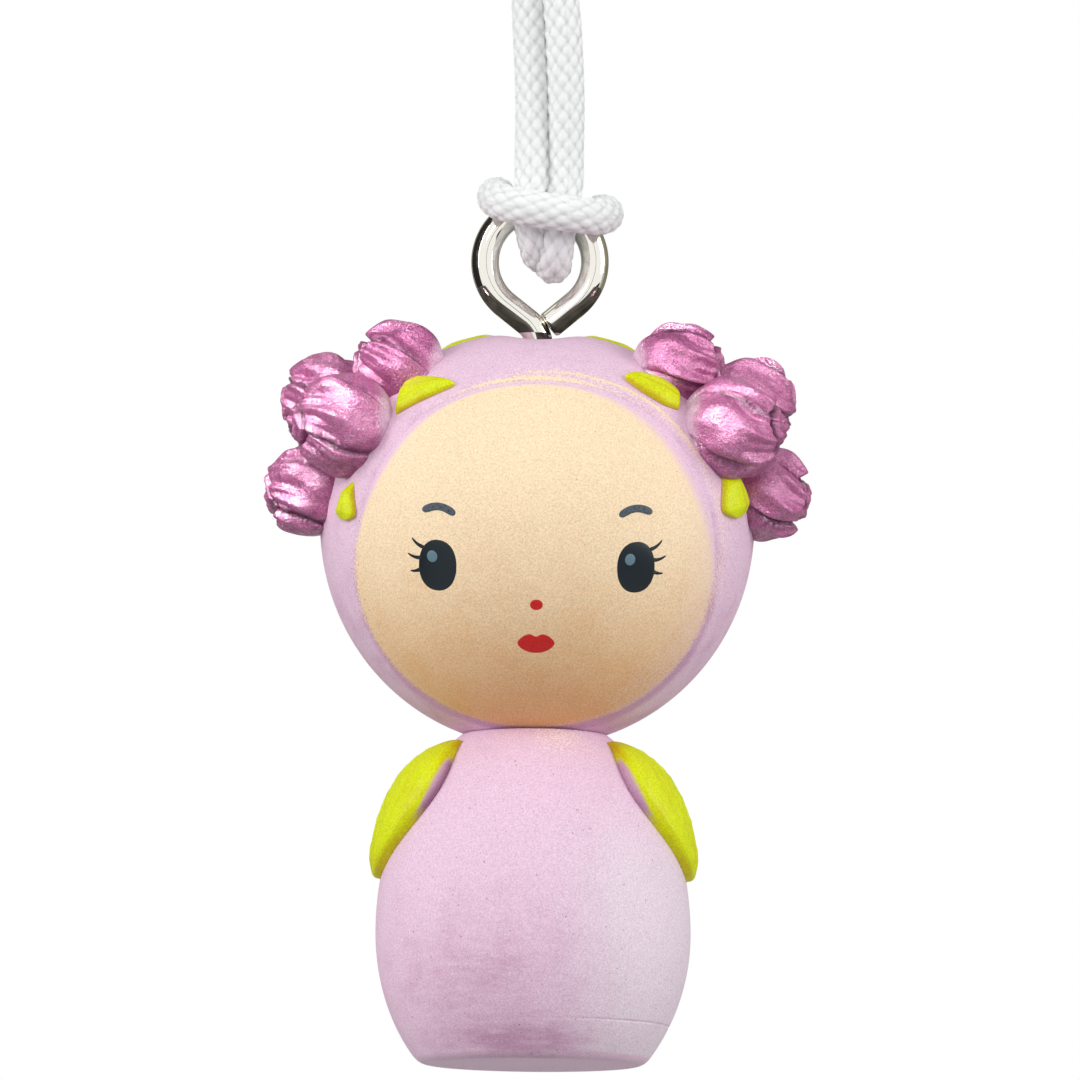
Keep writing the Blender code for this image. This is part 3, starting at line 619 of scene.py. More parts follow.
def face_edge(doll, clock):
    """The face's edge as an angle off its axis, eased between two limits.

    One is where the ellipsoid is the face's radius from its axis. The other is where it meets the
    plane of the pocket's floor, which is nearer over the forehead. The angle settles in a few rounds.
    """
    radius, plane = pocket_size(doll)
    crisp = 60.0
    polar = np.full_like(clock, 1.0)
    for _ in range(12):
        reach = head_reach(doll, face_ways(doll, polar, clock))
        round_edge, flat_edge = np.arcsin(radius / reach), np.arccos(plane / reach)
        polar = -np.log(np.exp(-crisp * round_edge) + np.exp(-crisp * flat_edge)) / crisp
    return polar


def head_points(doll, polar, clock, lift):
    """Points on the head's ellipsoid, lifted along its normals, with the crown's dimple."""
    ways = face_ways(doll, polar, clock)
    surface, normal = on_head(doll, head_middle(doll) + ways * doll.head_crown)
    points = surface + normal * lift[..., None]
    offset = points - head_middle(doll)
    reach = np.hypot(offset[..., 0], offset[..., 1] / doll.dimple_stretch) / doll.dimple_spread
    points[..., 2] -= np.where(offset[..., 2] > 0.0, doll.dimple_depth * hump(reach), 0.0)
    return points


def pocket_ring(doll, clock, part):
    """A ring hidden in the head behind the face, whose reach and place are a part of the pocket's."""
    radius, plane = pocket_size(doll)
    _, _, ahead = face_axes(doll)
    across = face_ways(doll, np.full_like(clock, 0.5 * math.pi), clock)
    return head_middle(doll) + part * (ahead * plane + across * radius)


def lip_shift(clock):
    """How far past the face's edge the lip stands: out at the two lower corners, where cream fills it."""
    return 0.75 * MM * np.clip(-2.0 * np.sin(clock) * np.abs(np.cos(clock)), 0.0, 1.0)


def cream_depth(doll, points):
    """How far the cream runs to its deep colour, from little at the forehead to full at the chin: partly a
    deeper cream paint, partly painted shade under the head.
    """
    low = (head_middle(doll)[2] - points[..., 2]) / doll.head_chin
    return np.clip(0.14 + 0.9 * low, 0.0, 1.0) ** 1.6


def lilac_cover(past, clock):
    """How far lilac covers cream, from 0 to 1, at a distance past the face's edge.

    The soft edge of the spray wanders round the face: in above, out below, and softer on the right.
    Over the forehead a bare line follows the lip, with a line of lilac inside it. Cream dust lies on
    the hood from the crown to the right, with one thin line of bare cream on it, and a lilac mist
    reaches in over the right cheek.
    """
    edge = 0.38 * np.cos(clock - math.radians(150.0)) - 0.65 * np.sin(clock) - 0.4 * np.sin(3.0 * clock)
    softness = 0.8 + 0.3 * np.cos(clock)
    cover = ease(0.5 + 0.5 * (past / MM - edge + 0.05) / softness)
    crown = hump((clock - math.radians(95.0)) / 0.55)
    cover = cover + 0.5 * crown * hump((past + 0.25 * MM) / (0.12 * MM))
    cover = cover - 0.7 * crown * hump((past - 0.3 * MM) / (0.16 * MM))
    right = window(clock, math.radians(-35.0), math.radians(118.0), 0.6, 0.5)
    dust = 0.34 * hump((past - 0.85 * MM) / (0.6 * MM)) * right
    line_place = (0.85 - 0.15 * np.cos(3.0 * clock)) * MM
    line_reach = window(clock, math.radians(22.0), math.radians(100.0), 0.3, 0.5)
    line = 0.62 * hump((past - line_place) / (0.11 * MM)) * line_reach
    mist = 0.32 * hump(past / (3.6 * MM)) * ease(1.5 * np.cos(clock + 0.4) - 0.4) * (past < 0.0)
    return np.clip(np.maximum(cover - dust - line, mist), 0.0, 1.0)


def head_stack(doll):
    """The hood: rings round the face's axis, from the pocket's floor over the lip to the back.

    The ellipsoid is drawn down along its normals across the lip, by a smooth step from nothing to the
    face's inset and on below the face.
    """
    clock = around(HOOD_COLUMNS)[None] - 0.5 * math.pi
    edge = face_edge(doll, clock)
    lip = np.linspace(-0.3, 1.0, 44)[:, None] * doll.lip_width / doll.head_half_width
    rest = np.linspace(0.0, 1.0, 124)[1:-1, None] ** 1.25
    span = math.pi - edge - lip[-1]
    polar = np.concatenate([edge + lip, edge + lip[-1] + rest * span])
    past = (polar - edge) * doll.head_half_width
    shift = lip_shift(clock)
    sunk = 1.0 - ease((past - shift) / doll.lip_width)
    under = np.clip(-past, 0.0, None)
    lift = -(doll.face_inset * sunk + 1.3 * under)
    clocks = clock + np.zeros_like(polar)
    skin = head_points(doll, polar, clocks, lift)
    rings = np.concatenate([pocket_ring(doll, clock, 0.55), skin])
    dust = 1.0 - lilac_cover(past, clocks)
    low = ease((head_middle(doll)[2] - skin[..., 2]) / doll.head_chin)
    # Painted shade: darker in the groove round the face's lip and towards the bottom of the hood; the cream
    # on the lip darkens towards the chin, partly painted shade.
    deep = 0.9 * hump((past - shift - 0.15 * MM) / (0.4 * MM)) * (0.3 + 0.7 * low) + 0.35 * low
    layers = {"dust": dust, "deep": deep, "dust_deep": cream_depth(doll, skin)}
    return rings, {name: np.vstack([values[:1], values]) for name, values in layers.items()}


def face_stack(doll):
    """The face: the ellipsoid drawn down by its inset, closed behind."""
    clock = around(FACE_COLUMNS)[None] - 0.5 * math.pi
    edge = face_edge(doll, clock)
    along = 1.0 - np.linspace(1.0, 0.0, 110)[1:, None] ** 1.4
    polar = edge * along
    past = (polar - edge) * doll.head_half_width
    lift = np.full_like(past, -doll.face_inset)
    clocks = clock + np.zeros_like(polar)
    skin = head_points(doll, polar, clocks, lift)
    rings = np.concatenate([skin, pocket_ring(doll, clock, 0.6)])
    cover = lilac_cover(past, clocks)
    # Darker towards the chin, partly painted shade.
    deep = cream_depth(doll, skin)
    return rings, {"dust": np.vstack([cover, cover[-1:]]), "deep": np.vstack([deep, deep[-1:]])}


# Painted features


# A lash's foot is a share of the eye's half height, and its reach and bow are in millimetres.
Lash = namedtuple("Lash", "foot out up bow")
LASHES = (Lash(0.62, 0.80, 0.52, 0.10), Lash(0.22, 0.86, 0.16, 0.10), Lash(-0.22, 0.66, -0.22, 0.06))


def on_face(doll, right, up, lift):
    """Points on the face under a view square to it: offsets to the right and up from its axis."""
    radius = doll.head_half_width
    right_way, up_way, ahead = face_axes(doll)
    depth = np.sqrt(np.clip(1.0 - (right**2 + up**2) / radius**2, 0.0, 1.0))
    across = right[..., None] * right_way + up[..., None] * up_way
    ways = unit(across / radius + depth[..., None] * ahead)
    surface, normal = on_head(doll, head_middle(doll) + ways * radius)
    return surface + normal * (lift - doll.face_inset)[..., None]


def film_stack(doll, place, outline, films=1.0):
    """A thin lens of paint: an outline shrunk to its middle over the face, and back beneath it.

    Place and outline are in millimetres, and films is how many films of paint thick it is. Its rim
    sinks just below the face.
    """
    over = np.array((0.06, 0.3, 0.55, 0.75, 0.88, 0.95, 0.985, 1.0))
    under = over[::-2]
    thick, sink = films * doll.film, 0.004 * MM
    top = thick * (1.0 - over**8) - sink
    shrink = np.concatenate([over, under])[:, None]
    lift = np.concatenate([top, np.full(len(under), -2.0 * thick)])[:, None]
    right, up = (MM * (middle + shrink * line[None]) for middle, line in zip(place, outline))
    return on_face(doll, right, up, lift + np.zeros_like(right)), {}


def oval(half_width_mm, half_height_mm, power=2.0):
    """A superellipse in millimetres: power 2 is an ellipse, and more is squarer."""
    turn = around(96)
    bend = 2.0 / power
    x = half_width_mm * np.sign(np.cos(turn)) * np.abs(np.cos(turn)) ** bend
    z = half_height_mm * np.sign(np.sin(turn)) * np.abs(np.sin(turn)) ** bend
    return x, z


def stroke(ends, bow, thick, thin):
    """A brush stroke's outline in millimetres: a bowed line, thick at its start and thin at its end."""
    along = np.linspace(0.0, 1.0, 40)
    start, end = np.array(ends[0]), np.array(ends[1])
    way = end - start
    square = np.array((-way[1], way[0])) / np.hypot(*way)
    line = start + along[:, None] * way + (4.0 * bow * along * (1.0 - along))[:, None] * square
    tangent = unit(np.gradient(line, axis=0))
    square = np.stack([-tangent[:, 1], tangent[:, 0]], axis=-1)
    half = (thick + (thin - thick) * along) / 2.0 * rounded_edge(2.0 * along - 1.0, 8, 0.5)
    aside = square * half[:, None]
    loop = np.concatenate([line + aside, (line - aside)[::-1]])
    middle = loop.mean(axis=0)
    return middle, (loop - middle).T


def lips_outline(half_width_mm, upper, lower):
    """Small lips: a bow with a dip over it and a full curve under it, pointed at both corners."""
    turn = around(120)
    x = half_width_mm * np.cos(turn)
    arch = np.abs(np.sin(turn)) ** 1.25
    dip = 1.0 - 0.34 * hump(x / (0.26 * half_width_mm))
    z = np.where(np.sin(turn) > 0.0, upper * arch * dip, -lower * arch)
    return x, z


# Blossoms and leaves


# A place in its cluster is in steps of the pitch, towards the face and towards the crown. A blossom's
# stand and a leaf's length and half width are in millimetres. A leaf's heading is in degrees from the
# face to the crown, its foot is a share of its width and lift, its width is full at a share of its
# length, and a higher blunt makes its tip rounder.
Blossom = namedtuple("Blossom", "forward up stand scale")
Leaf = namedtuple("Leaf", "forward up heading length half_width lift foot fullest blunt")
BLOSSOMS = {
    "front": Blossom(0.59, -0.27, 1.4, 1.1),
    "low": Blossom(-0.13, -0.88, 0.7, 1.02),
    "top": Blossom(0.34, 0.55, 0.55, 1.0),
    "back": Blossom(-0.6, 0.0, 2.4, 1.0),
}
CROWN_LEAF = Leaf(-0.6, 1.64, 97.0, 4.4, 1.0, 0.7, 0.5, 0.35, 1.4)
LEAVES = {
    "left": {
        "upper": Leaf(1.21, 0.5, 32.0, 3.9, 1.7, 0.75, 1.0, 0.05, 1.0),
        "low": Leaf(0.86, -1.06, 271.0, 2.4, 1.25, 0.8, 0.05, 0.9, 9.0),
        "crown": CROWN_LEAF,
    },
    "right": {
        "upper": Leaf(1.1, 0.52, 47.0, 3.8, 1.3, 0.9, 0.75, 0.3, 2.6),
        "low": Leaf(0.66, -0.9, 264.0, 3.2, 2.1, 0.95, 0.15, 0.8, 6.0),
        "crown": CROWN_LEAF,
    },
}


def cluster_point(doll, garland, side, forward, up):
    """A point near the head, in steps of the pitch towards the face and towards the crown."""
    azimuth, elevation = garland.cluster_azimuth, garland.cluster_elevation
    level = math.cos(elevation)
    out = np.array((side * level * math.sin(azimuth), -level * math.cos(azimuth), math.sin(elevation)))
    to_face = np.array((-side * math.cos(azimuth), -math.sin(azimuth), 0.0))
    to_crown = np.cross(out, to_face) * -side
    middle, _ = on_head(doll, head_middle(doll) + out * doll.head_half_width)
    return middle + (to_face * forward + to_crown * up) * garland.blossom_pitch


def blossom_place(doll, garland, side, name):
    """A blossom's middle, at its stand on the head, and the way it points: out, and more to its side."""
    blossom = BLOSSOMS[name]
    surface, normal = on_head(doll, cluster_point(doll, garland, side, blossom.forward, blossom.up))
    lean = np.array((side * garland.blossom_lean, garland.blossom_trail, -garland.blossom_droop))
    return surface + normal * blossom.stand * MM, unit(normal + lean)


def bud_forms(garland, polar, share_in, rise, lap, wild):
    """The bud's radius, as a share, and the painted shade in its hollows, for petals of two rings.

    Round the bud each outer petal rises steadily and drops to the next. Its rim flares a little, and
    pleats run up to it. Inside the rim lies a lower bud, which falls away behind the outer petals, and
    on which two rolled petals wind in to the middle. Share_in is 0 at the tip, 1 at the rim and more
    outside, and lap is 0 to 1 round the bud.
    """
    above_foot = np.clip((math.pi - polar) / (math.pi - 2.0 * garland.petal_rim), 0.0, 1.0)
    past_rim = polar - polar / np.maximum(share_in, 1e-6)
    flare = garland.petal_curl * hump(past_rim / 0.20) * (0.35 + 0.65 * rise) * ease((1.0 - rise) / 0.2)
    pleats = np.sin(TURN * (2.0 * rise + 0.35 * wild) + 1.5 * polar) * hump((past_rim - 0.45) / 0.6)
    pleats += 0.5 * np.sin(TURN * (5.0 * rise - 0.2 * wild)) * hump((past_rim - 0.3) / 0.4)
    edge_roll = -0.03 * ease((rise - 0.93) / 0.07) ** 2
    step = garland.petal_step * (0.4 + 0.6 * ease(past_rim / 0.4))
    outer = 1.0 - step * (1.0 - rise) * above_foot + flare
    outer += garland.petal_pleat * pleats + edge_roll * above_foot
    outer += 0.035 * np.sin(math.pi * rise) * np.sin(polar)
    outer += 0.014 * np.sin(3.0 * polar + 5.0 * rise + 2.0 * wild)
    swirl = TURN * (2.0 * lap + 1.9 * share_in + 0.13 * wild)
    behind = ease((share_in - 0.66) / 0.28)
    rolled = (np.sin(swirl) + 0.35 * np.sin(2.0 * swirl)) * ease((share_in - 0.06) / 0.2)
    inner = garland.mouth_share + 0.055 * rolled - garland.mouth_depth * behind
    over_rim = ease((share_in - 0.955) / 0.035)
    inside = inner + (outer - 0.012 - inner) * over_rim
    radius = np.where(share_in <= 1.0, inside, outer)
    # Painted shade where each petal drops to the next, and in the mouth behind and between the rolled petals.
    fold = 0.9 * hump(rise / 0.11) * ease(1.4 * above_foot - 0.25)
    mouth = 0.95 * behind + 0.3 * (1.0 - np.sin(swirl)) + 0.15
    deep = np.where(share_in <= 0.96, mouth, fold)
    return radius, np.clip(deep, 0.0, 1.0)


def blossom_stack(doll, garland, side, name, rooms):
    """A rosebud: rings from its tip to its foot, whose columns lean with the petals.

    Columns crowd at each petal's edge and rows crowd at the rim, so that both come out crisp. Points
    that would stand in an earlier blossom of the cluster are drawn out to the ball of its room.
    """
    wild = list(BLOSSOMS).index(name) + (0.5 if side > 0.0 else 0.0)
    half = np.concatenate([np.linspace(0.0, 0.40, 14), np.linspace(0.42, 0.485, 5)])
    rise_one = np.concatenate([half, half + 0.5])
    rise = np.tile(rise_one / rise_one[-1] * 0.985, garland.petals)[None]
    petal = np.repeat(np.arange(garland.petals), len(rise_one))[None]
    bow = (1.0 - np.sin(math.pi * rise)) * (1.0 + 0.4 * np.sin(2.3 * petal + wild))
    rim = garland.petal_rim + garland.petal_scallop * bow
    inside = np.concatenate([np.linspace(0.05, 0.9, 26), np.linspace(0.92, 1.0, 9)])[:, None]
    outside = np.linspace(0.0, 1.0, 58)[1:-1, None] ** 1.35
    polar = np.concatenate([rim * inside, rim + (math.pi - rim) * outside])
    lap = (petal + rise) / garland.petals
    radius, deep = bud_forms(garland, polar, polar / rim, rise + np.zeros_like(polar), lap, wild)
    spin = garland.blossom_spin * list(BLOSSOMS).index(name)
    turn = spin + TURN * (petal + rise - garland.petal_lean * polar) / garland.petals
    waves = ((1.0, 2.0, 0.0, 1.0), (1.2, 5.0, 2.0, 2.1), (0.9, 7.0, -4.0, 3.7), (0.4, 13.0, 5.0, 1.0))
    swell = sum(high * np.sin(laps * turn + lean * polar + own * wild) for high, laps, lean, own in waves)
    radius = radius * (1.0 + 0.026 * swell * np.sin(polar))
    local = np.stack([np.sin(polar) * np.cos(turn), np.sin(polar) * np.sin(turn), np.cos(polar)], axis=-1)
    middle, out = blossom_place(doll, garland, side, name)
    basis = np.array(Vector(out).to_track_quat("Z", "Y").to_matrix())
    reach = garland.blossom_radius * BLOSSOMS[name].scale
    points = middle + reach * radius[..., None] * (local @ basis.T)
    # Painted shade on the blossom's lower part.
    below = ease((middle[2] - points[..., 2]) / reach)
    for room, room_reach in rooms:
        away = points - room
        apart = np.linalg.norm(away, axis=-1, keepdims=True)
        points = room + away * np.maximum(1.0, 0.985 * room_reach / apart)
    dust = 0.85 * ease((polar - math.radians(112.0)) / math.radians(38.0))
    return points, {"dust": dust, "deep": np.clip(deep + 0.4 * below, 0.0, 1.0)}


def leaf_stack(doll, garland, side, leaf):
    """A leaf on the hood: rings across it, drawn on the tangent plane and let down onto the head.

    Each half bulges between the folded midrib and a rounded edge. The dust layer is lilac at the wall. The
    deep layer is painted shade in the midrib's fold, and darkens the edges.
    """
    heading = math.radians(leaf.heading)
    middle, normal = on_head(doll, cluster_point(doll, garland, side, leaf.forward, leaf.up))
    tip = (leaf.forward + math.cos(heading), leaf.up + math.sin(heading))
    ahead, _ = on_head(doll, cluster_point(doll, garland, side, *tip))
    across_way = unit(np.cross(normal, ahead - middle))
    along_way = np.cross(across_way, normal)
    along, across, on_top = leaf_grid(
        tip_from=0.88, rows=40, tip_rows=22, wall=0.10, wall_columns=10, columns=41, under_columns=12
    )
    crown = (1.0 - np.abs(across) ** 1.4) * ease(4.0 * (1.0 - along))
    fold = hump((across - 0.16) / 0.10) * ease(5.0 * (1.0 - along))
    lift = garland.leaf_edge + (garland.leaf_thickness - garland.leaf_edge) * crown - 0.05 * MM * fold
    lift = lift * leaf.lift * (leaf.foot + (1.0 - leaf.foot) * ease(2.5 * along + 0.1))
    edges = rounded_edge(across, 10, 0.25) * rounded_edge(2.0 * along - 1.0, 22, 0.5)
    height_off = on_top * lift * edges - (1.0 - on_top) * garland.leaf_sink
    broad = leaf.foot + (1.0 - leaf.foot) * np.minimum(1.0, along / leaf.fullest)
    blade = (1.0 - along**leaf.blunt) ** 0.85 * broad
    tip_width = garland.leaf_tip_width * np.sqrt(1.0 - along**8)
    width = tip_width + (leaf.half_width * MM - garland.leaf_tip_width) * blade
    flat = middle + along_way * ((along - 0.5) * leaf.length * MM)[..., None]
    flat = flat + across_way * (across * width)[..., None]
    surface, out = on_head(doll, flat)
    low_wall = 1.0 - ease((height_off / lift - 0.1) / 0.2)
    # Painted shade in the midrib's fold; darker towards the edges.
    deep = np.clip(0.35 * fold + 0.5 * hump((1.0 - np.abs(across)) / 0.18), 0.0, 1.0)
    return surface + out * height_off[..., None], {"dust": 0.8 * low_wall, "deep": deep}


# Screw eye and cord


def swept(path, first_way, second_way, radii):
    """A tube: a round profile carried along a path on two square directions, with radii ring by ring."""
    turn = around(radii.shape[1])[None, :, None]
    flat = np.cos(turn) * first_way[:, None] + np.sin(turn) * second_way[:, None]
    return path[:, None] + radii[..., None] * flat


def even_steps(points, step):
    """Points at even steps along a fine line, and the run along it to each."""
    run = np.concatenate([[0.0], np.cumsum(np.linalg.norm(np.diff(points, axis=0), axis=1))])
    even = np.linspace(0.0, run[-1], int(round(run[-1] / step)) + 1)
    return np.stack([np.interp(even, run, points[:, k]) for k in range(3)], axis=-1), even


def eye_path(hanger):
    """The eye's wire about its ring's middle, and its foot.

    It goes up the shank, through a quadratic bend, round the ring and straight back to the leg.
    """
    leg, end = hanger.eye_leg_angle, hanger.eye_end_angle
    ring_start = hanger.eye_ring * np.array((math.cos(leg), 0.0, math.sin(leg)))
    down = np.array((-math.sin(leg), 0.0, math.cos(leg)))
    corner = ring_start - down * (ring_start[0] / down[0])
    leave = corner - UP * hanger.eye_bend
    arrive = corner - down * hanger.eye_bend
    foot = UP * (hanger.eye_ring / math.sin(leg) - hanger.eye_shank)
    bend = np.linspace(0.0, 1.0, 24)[1:-1, None]
    curve = (1 - bend) ** 2 * leave + 2 * bend * (1 - bend) * corner + bend**2 * arrive
    turn = np.linspace(leg, end, 220)
    ring = hanger.eye_ring * np.stack([np.cos(turn), 0.0 * turn, np.sin(turn)], axis=-1)
    tail = ring[-1] + hanger.eye_tail * np.array((math.sin(end), 0.0, -math.cos(end)))
    return np.vstack([foot, leave, curve, ring, tail]), foot


def eye_stack(hanger):
    """The wire swept along its path: a thread on the buried shank, a point, and a cut end."""
    line, foot = eye_path(hanger)
    path, run = even_steps(line, WIRE_STEP)
    tangent = unit(np.gradient(path, axis=0))
    side = np.array((0.0, 1.0, 0.0)) + np.zeros_like(path)
    square = np.cross(side, tangent)
    turn = around(WIRE_COLUMNS)
    left = run[-1] - run
    point = np.minimum(1.0, 0.12 + 0.88 * run / hanger.eye_point)
    cut = 1.0 - 0.10 * (1.0 - ease(left / (0.12 * MM)))
    buried = ease((hanger.eye_shank - 1.2 * MM - run) / (0.8 * MM))[:, None]
    turns = (path[:, 2:] - foot[2]) / hanger.thread_pitch
    groove = buried * (0.5 + 0.5 * np.cos(TURN * turns - turn[None])) ** 3
    radii = hanger.eye_wire / 2.0 * (point * cut)[:, None] * (1.0 - hanger.thread_depth * groove)
    return swept(EYE_CENTRE + path, square, side, radii), {"deep": groove}


def pass_knots(front, top, low, top_x, turn_x, low_x):
    """One strand's knots from the hitch's top down its front, and in a half round through the eye."""
    turn = np.radians((0.0, 45.0, 90.0, 135.0, 180.0))
    turn_height = low - front
    falls = [(top_x, front, top), ((top_x + turn_x) / 2.0, front, (top + turn_height) / 2.0)]
    reach = turn_x + (low_x - turn_x) * np.sin(turn)
    return falls + list(zip(reach, front * np.cos(turn), turn_height + front * np.sin(turn)))


def rise_knots(hanger, front, side):
    """One strand's knots above the hitch: straight, where it laps the other, and out to the loop.

    The straight has heights, and the shares of the strands' shift and lap there. The loop is in
    millimetres, out and up.
    """
    straight = [
        (hanger.hitch_top + CORD_GAP, 1.0, 0.1),
        (10.0 * MM, 1.0, 0.8),
        (14.0 * MM, 0.6, 1.0),
        (17.5 * MM, 0.1, 0.6),
    ]
    loop = [(1.9, 21.6), (3.4, 25.6), (4.0, 28.6), (2.9, 31.5)]
    knots = []
    for height, shift, lap in straight:
        x = shift * hanger.strand_shift + side * hanger.strand_x
        knots.append((x, front - side * lap * hanger.strand_lap, height))
    return knots + [(side * x * MM, front, z * MM) for x, z in loop]


def cord_knots(hanger):
    """The cord's route about the ring's middle, in a closed round.

    It goes behind the eye, across the front of the hitch, down and up through the eye on the right,
    over the loop, and back on the left.
    """
    front = -(hanger.eye_wire / 2.0 + hanger.cord_diameter / 2.0 + CORD_GAP)
    top = hanger.hitch_top - hanger.cord_diameter / 2.0
    left_x, right_x = hanger.strand_shift - hanger.strand_x, hanger.strand_shift + hanger.strand_x
    left = pass_knots(front, top, hanger.left_pass, left_x, -0.6 * MM, 0.0)
    right = pass_knots(front, top, hanger.right_pass, right_x, 1.1 * MM, 0.8 * MM)
    left_bulb = [(-0.9, 2.3, 3.0), (-1.4, 2.25, 3.3), (-2.1, 1.7, 3.65), (-2.65, 0.2, 4.1)]
    left_band = [(-2.75, -1.75, 3.75), (-2.25, -3.4, 3.35), (-1.0, -4.35, 3.0), (0.4, -4.6, 2.75)]
    right_band = [(1.95, -4.45, 2.6), (3.2, -3.4, 2.55), (3.9, -1.8, 2.75)]
    right_bulb = [(3.9, 0.0, 3.1), (3.3, 1.65, 3.1), (2.3, 2.3, 2.9), (1.5, 2.3, 2.6)]
    across = [tuple(c * MM for c in knot) for knot in left_bulb + left_band + right_band + right_bulb]
    up_right, up_left = (rise_knots(hanger, front, side) for side in (1.0, -1.0))
    loop_top = (0.0, front, hanger.loop_inner_top + hanger.cord_diameter / 2.0)
    return np.array([left[-1]] + across + right[::-1] + up_right + [loop_top] + up_left[::-1] + left[:-1])


def closed_route(knots, steps):
    """A smooth curve through every knot of a closed round: cubic pieces with even tangents."""
    t = np.linspace(0.0, 1.0, steps, endpoint=False)[None, :, None]
    a, b, c, d = (np.roll(knots, shift, axis=0)[:, None] for shift in (1, 0, -1, -2))
    bow = (2 * a - 5 * b + 4 * c - d) * t**2 + (3 * b - a - 3 * c + d) * t**3
    points = 0.5 * (2 * b + (c - a) * t + bow)
    return np.vstack([points.reshape(-1, 3), knots[:1]])


def carried_ways(path):
    """Two directions square to a path, carried along it without twist, ring by ring."""
    tangent = unit(np.gradient(path, axis=0))
    way = unit(np.cross(tangent[0], (1.0, 0.0, 0.0)))
    first = []
    for heading in tangent:
        way = unit(way - heading * np.dot(way, heading))
        first.append(way)
    first = np.array(first)
    return first, np.cross(tangent, first)


def cord_stack(hanger):
    """The braid swept along the cord's route.

    Two sets of strands wind opposite ways. Each is a row of round ridges, lifted and sunk by a wave so
    that it goes over one strand of the other set and under the next, and the higher one shows.
    """
    path, run = even_steps(closed_route(cord_knots(hanger), steps=30), CORD_STEP)
    first_way, second_way = carried_ways(path)
    columns = STRAND_COLUMNS * hanger.braid_strands
    lap = hanger.braid_strands * np.arange(columns)[None] / columns
    step = run[:, None] / hanger.braid_pitch
    right_lay, left_lay = lap + step, lap - step
    right_wave = np.cos(math.pi * (np.floor(right_lay) + 0.5 + left_lay))
    left_wave = -np.cos(math.pi * (right_lay + np.floor(left_lay) + 0.5))
    right_high, left_high = (
        rounded_edge(2.0 * (lay - np.floor(lay)) - 1.0, 2, 0.5) + 0.55 * wave
        for lay, wave in ((right_lay, right_wave), (left_lay, left_wave))
    )
    lowest, highest = 0.2, 1.55
    high = np.clip(np.maximum(right_high, left_high), lowest, highest)
    relief = (high - lowest) / (highest - lowest)
    radii = hanger.cord_diameter / 2.0 * (1.0 + hanger.braid_relief * (relief - 0.6))
    rings = swept(EYE_CENTRE + path, first_way, second_way, radii)
    strand = np.where(right_high > left_high, right_lay, left_lay)
    # The deep layer is painted shade in the gaps between the raised strands.
    layers = {"deep": np.clip(0.8 - 1.1 * relief, 0.0, 1.0), "strand": strand}
    return rings, layers, EYE_CENTRE + path, run[-1]


# Finishes


# Spacing and radius of the casting's pits, and their colour
PITS = ((0.7 * MM, 0.07 * MM), (0.4 * MM, 0.045 * MM))
PIT_SHADE = (0.12, 0.05, 0.09, 1.0)


def add_node(tree, kind, inputs=None, **settings):
    """A shader node with its settings, and its inputs linked or set."""
    made = tree.nodes.new("ShaderNode" + kind)
    for key, value in settings.items():
        setattr(made, key, value)
    for key, value in (inputs or {}).items():
        if isinstance(value, bpy.types.NodeSocket):
            tree.links.new(value, made.inputs[key])
        else:
            made.inputs[key].default_value = value
    return made


def calc(tree, operation, first, second=0.0):
    """The result of a Math node on two values."""
    return add_node(tree, "Math", {0: first, 1: second}, operation=operation, use_clamp=False).outputs[0]


def plus(tree, first, second):
    """The sum of two values."""
    return calc(tree, "ADD", first, second)


def times(tree, first, second):
    """The product of two values."""
    return calc(tree, "MULTIPLY", first, second)


def blend_colour(tree, factor, first, second, how="MIX"):
    """Two colours blended by a factor."""
    made = add_node(tree, "Mix", {0: factor, 6: first, 7: second}, data_type="RGBA", blend_type=how)
    return made.outputs[2]


def toned(tree, paint, level):
    """A paint times a level of grey."""
    grey = add_node(tree, "CombineColor", {0: level, 1: level, 2: level}).outputs[0]
    return blend_colour(tree, 1.0, paint, grey, "MULTIPLY")


def spread(tree, value, low, high, to_low=0.0, to_high=1.0):
    """A value eased from one range to another."""
    inputs = {"Value": value, "From Min": low, "From Max": high, "To Min": to_low, "To Max": to_high}
    return add_node(tree, "MapRange", inputs, interpolation_type="SMOOTHSTEP").outputs[0]


def layer(tree, name):
    """A layer of values that the piece carries."""
    return add_node(tree, "Attribute", attribute_name=name).outputs["Fac"]


def noise(tree, where, feature, detail=2.0, roughness=0.5):
    """Cloudy noise whose features are about a length across."""
    inputs = {"Vector": where, "Scale": 1.0 / feature, "Detail": detail, "Roughness": roughness}
    return add_node(tree, "TexNoise", inputs).outputs[0]


def pits(tree, where, spacing, radius):
    """Round pits, one to a cell and only in some cells: 1 in a pit."""
    cells = add_node(tree, "TexVoronoi", {"Vector": where, "Scale": 1.0 / spacing})
    chosen = spread(tree, cells.outputs["Color"], 0.48, 0.52)
    dot = spread(tree, cells.outputs["Distance"], radius / spacing, 0.4 * radius / spacing)
    return times(tree, chosen, dot)


def new_material(name, values):
    """A node material with plain values on its shader, and the Object coordinates for its patterns."""
    material = bpy.data.materials.new(name)
    material.use_nodes = True
    tree = material.node_tree
    shader = tree.nodes["Principled BSDF"]
    for key, value in values.items():
        shader.inputs[key].default_value = value
    where = add_node(tree, "TexCoord").outputs["Object"]
    return material, tree, shader, where


def connect(tree, shader, links):
    """Links values to the shader's inputs of their names."""
    for key, value in links.items():
        tree.links.new(value, shader.inputs[key])


def bumped(tree, height, strength, distance):
    """A normal that is bent by a height."""
    return add_node(tree, "Bump", {"Height": height, "Strength": strength, "Distance": distance}).outputs[0]


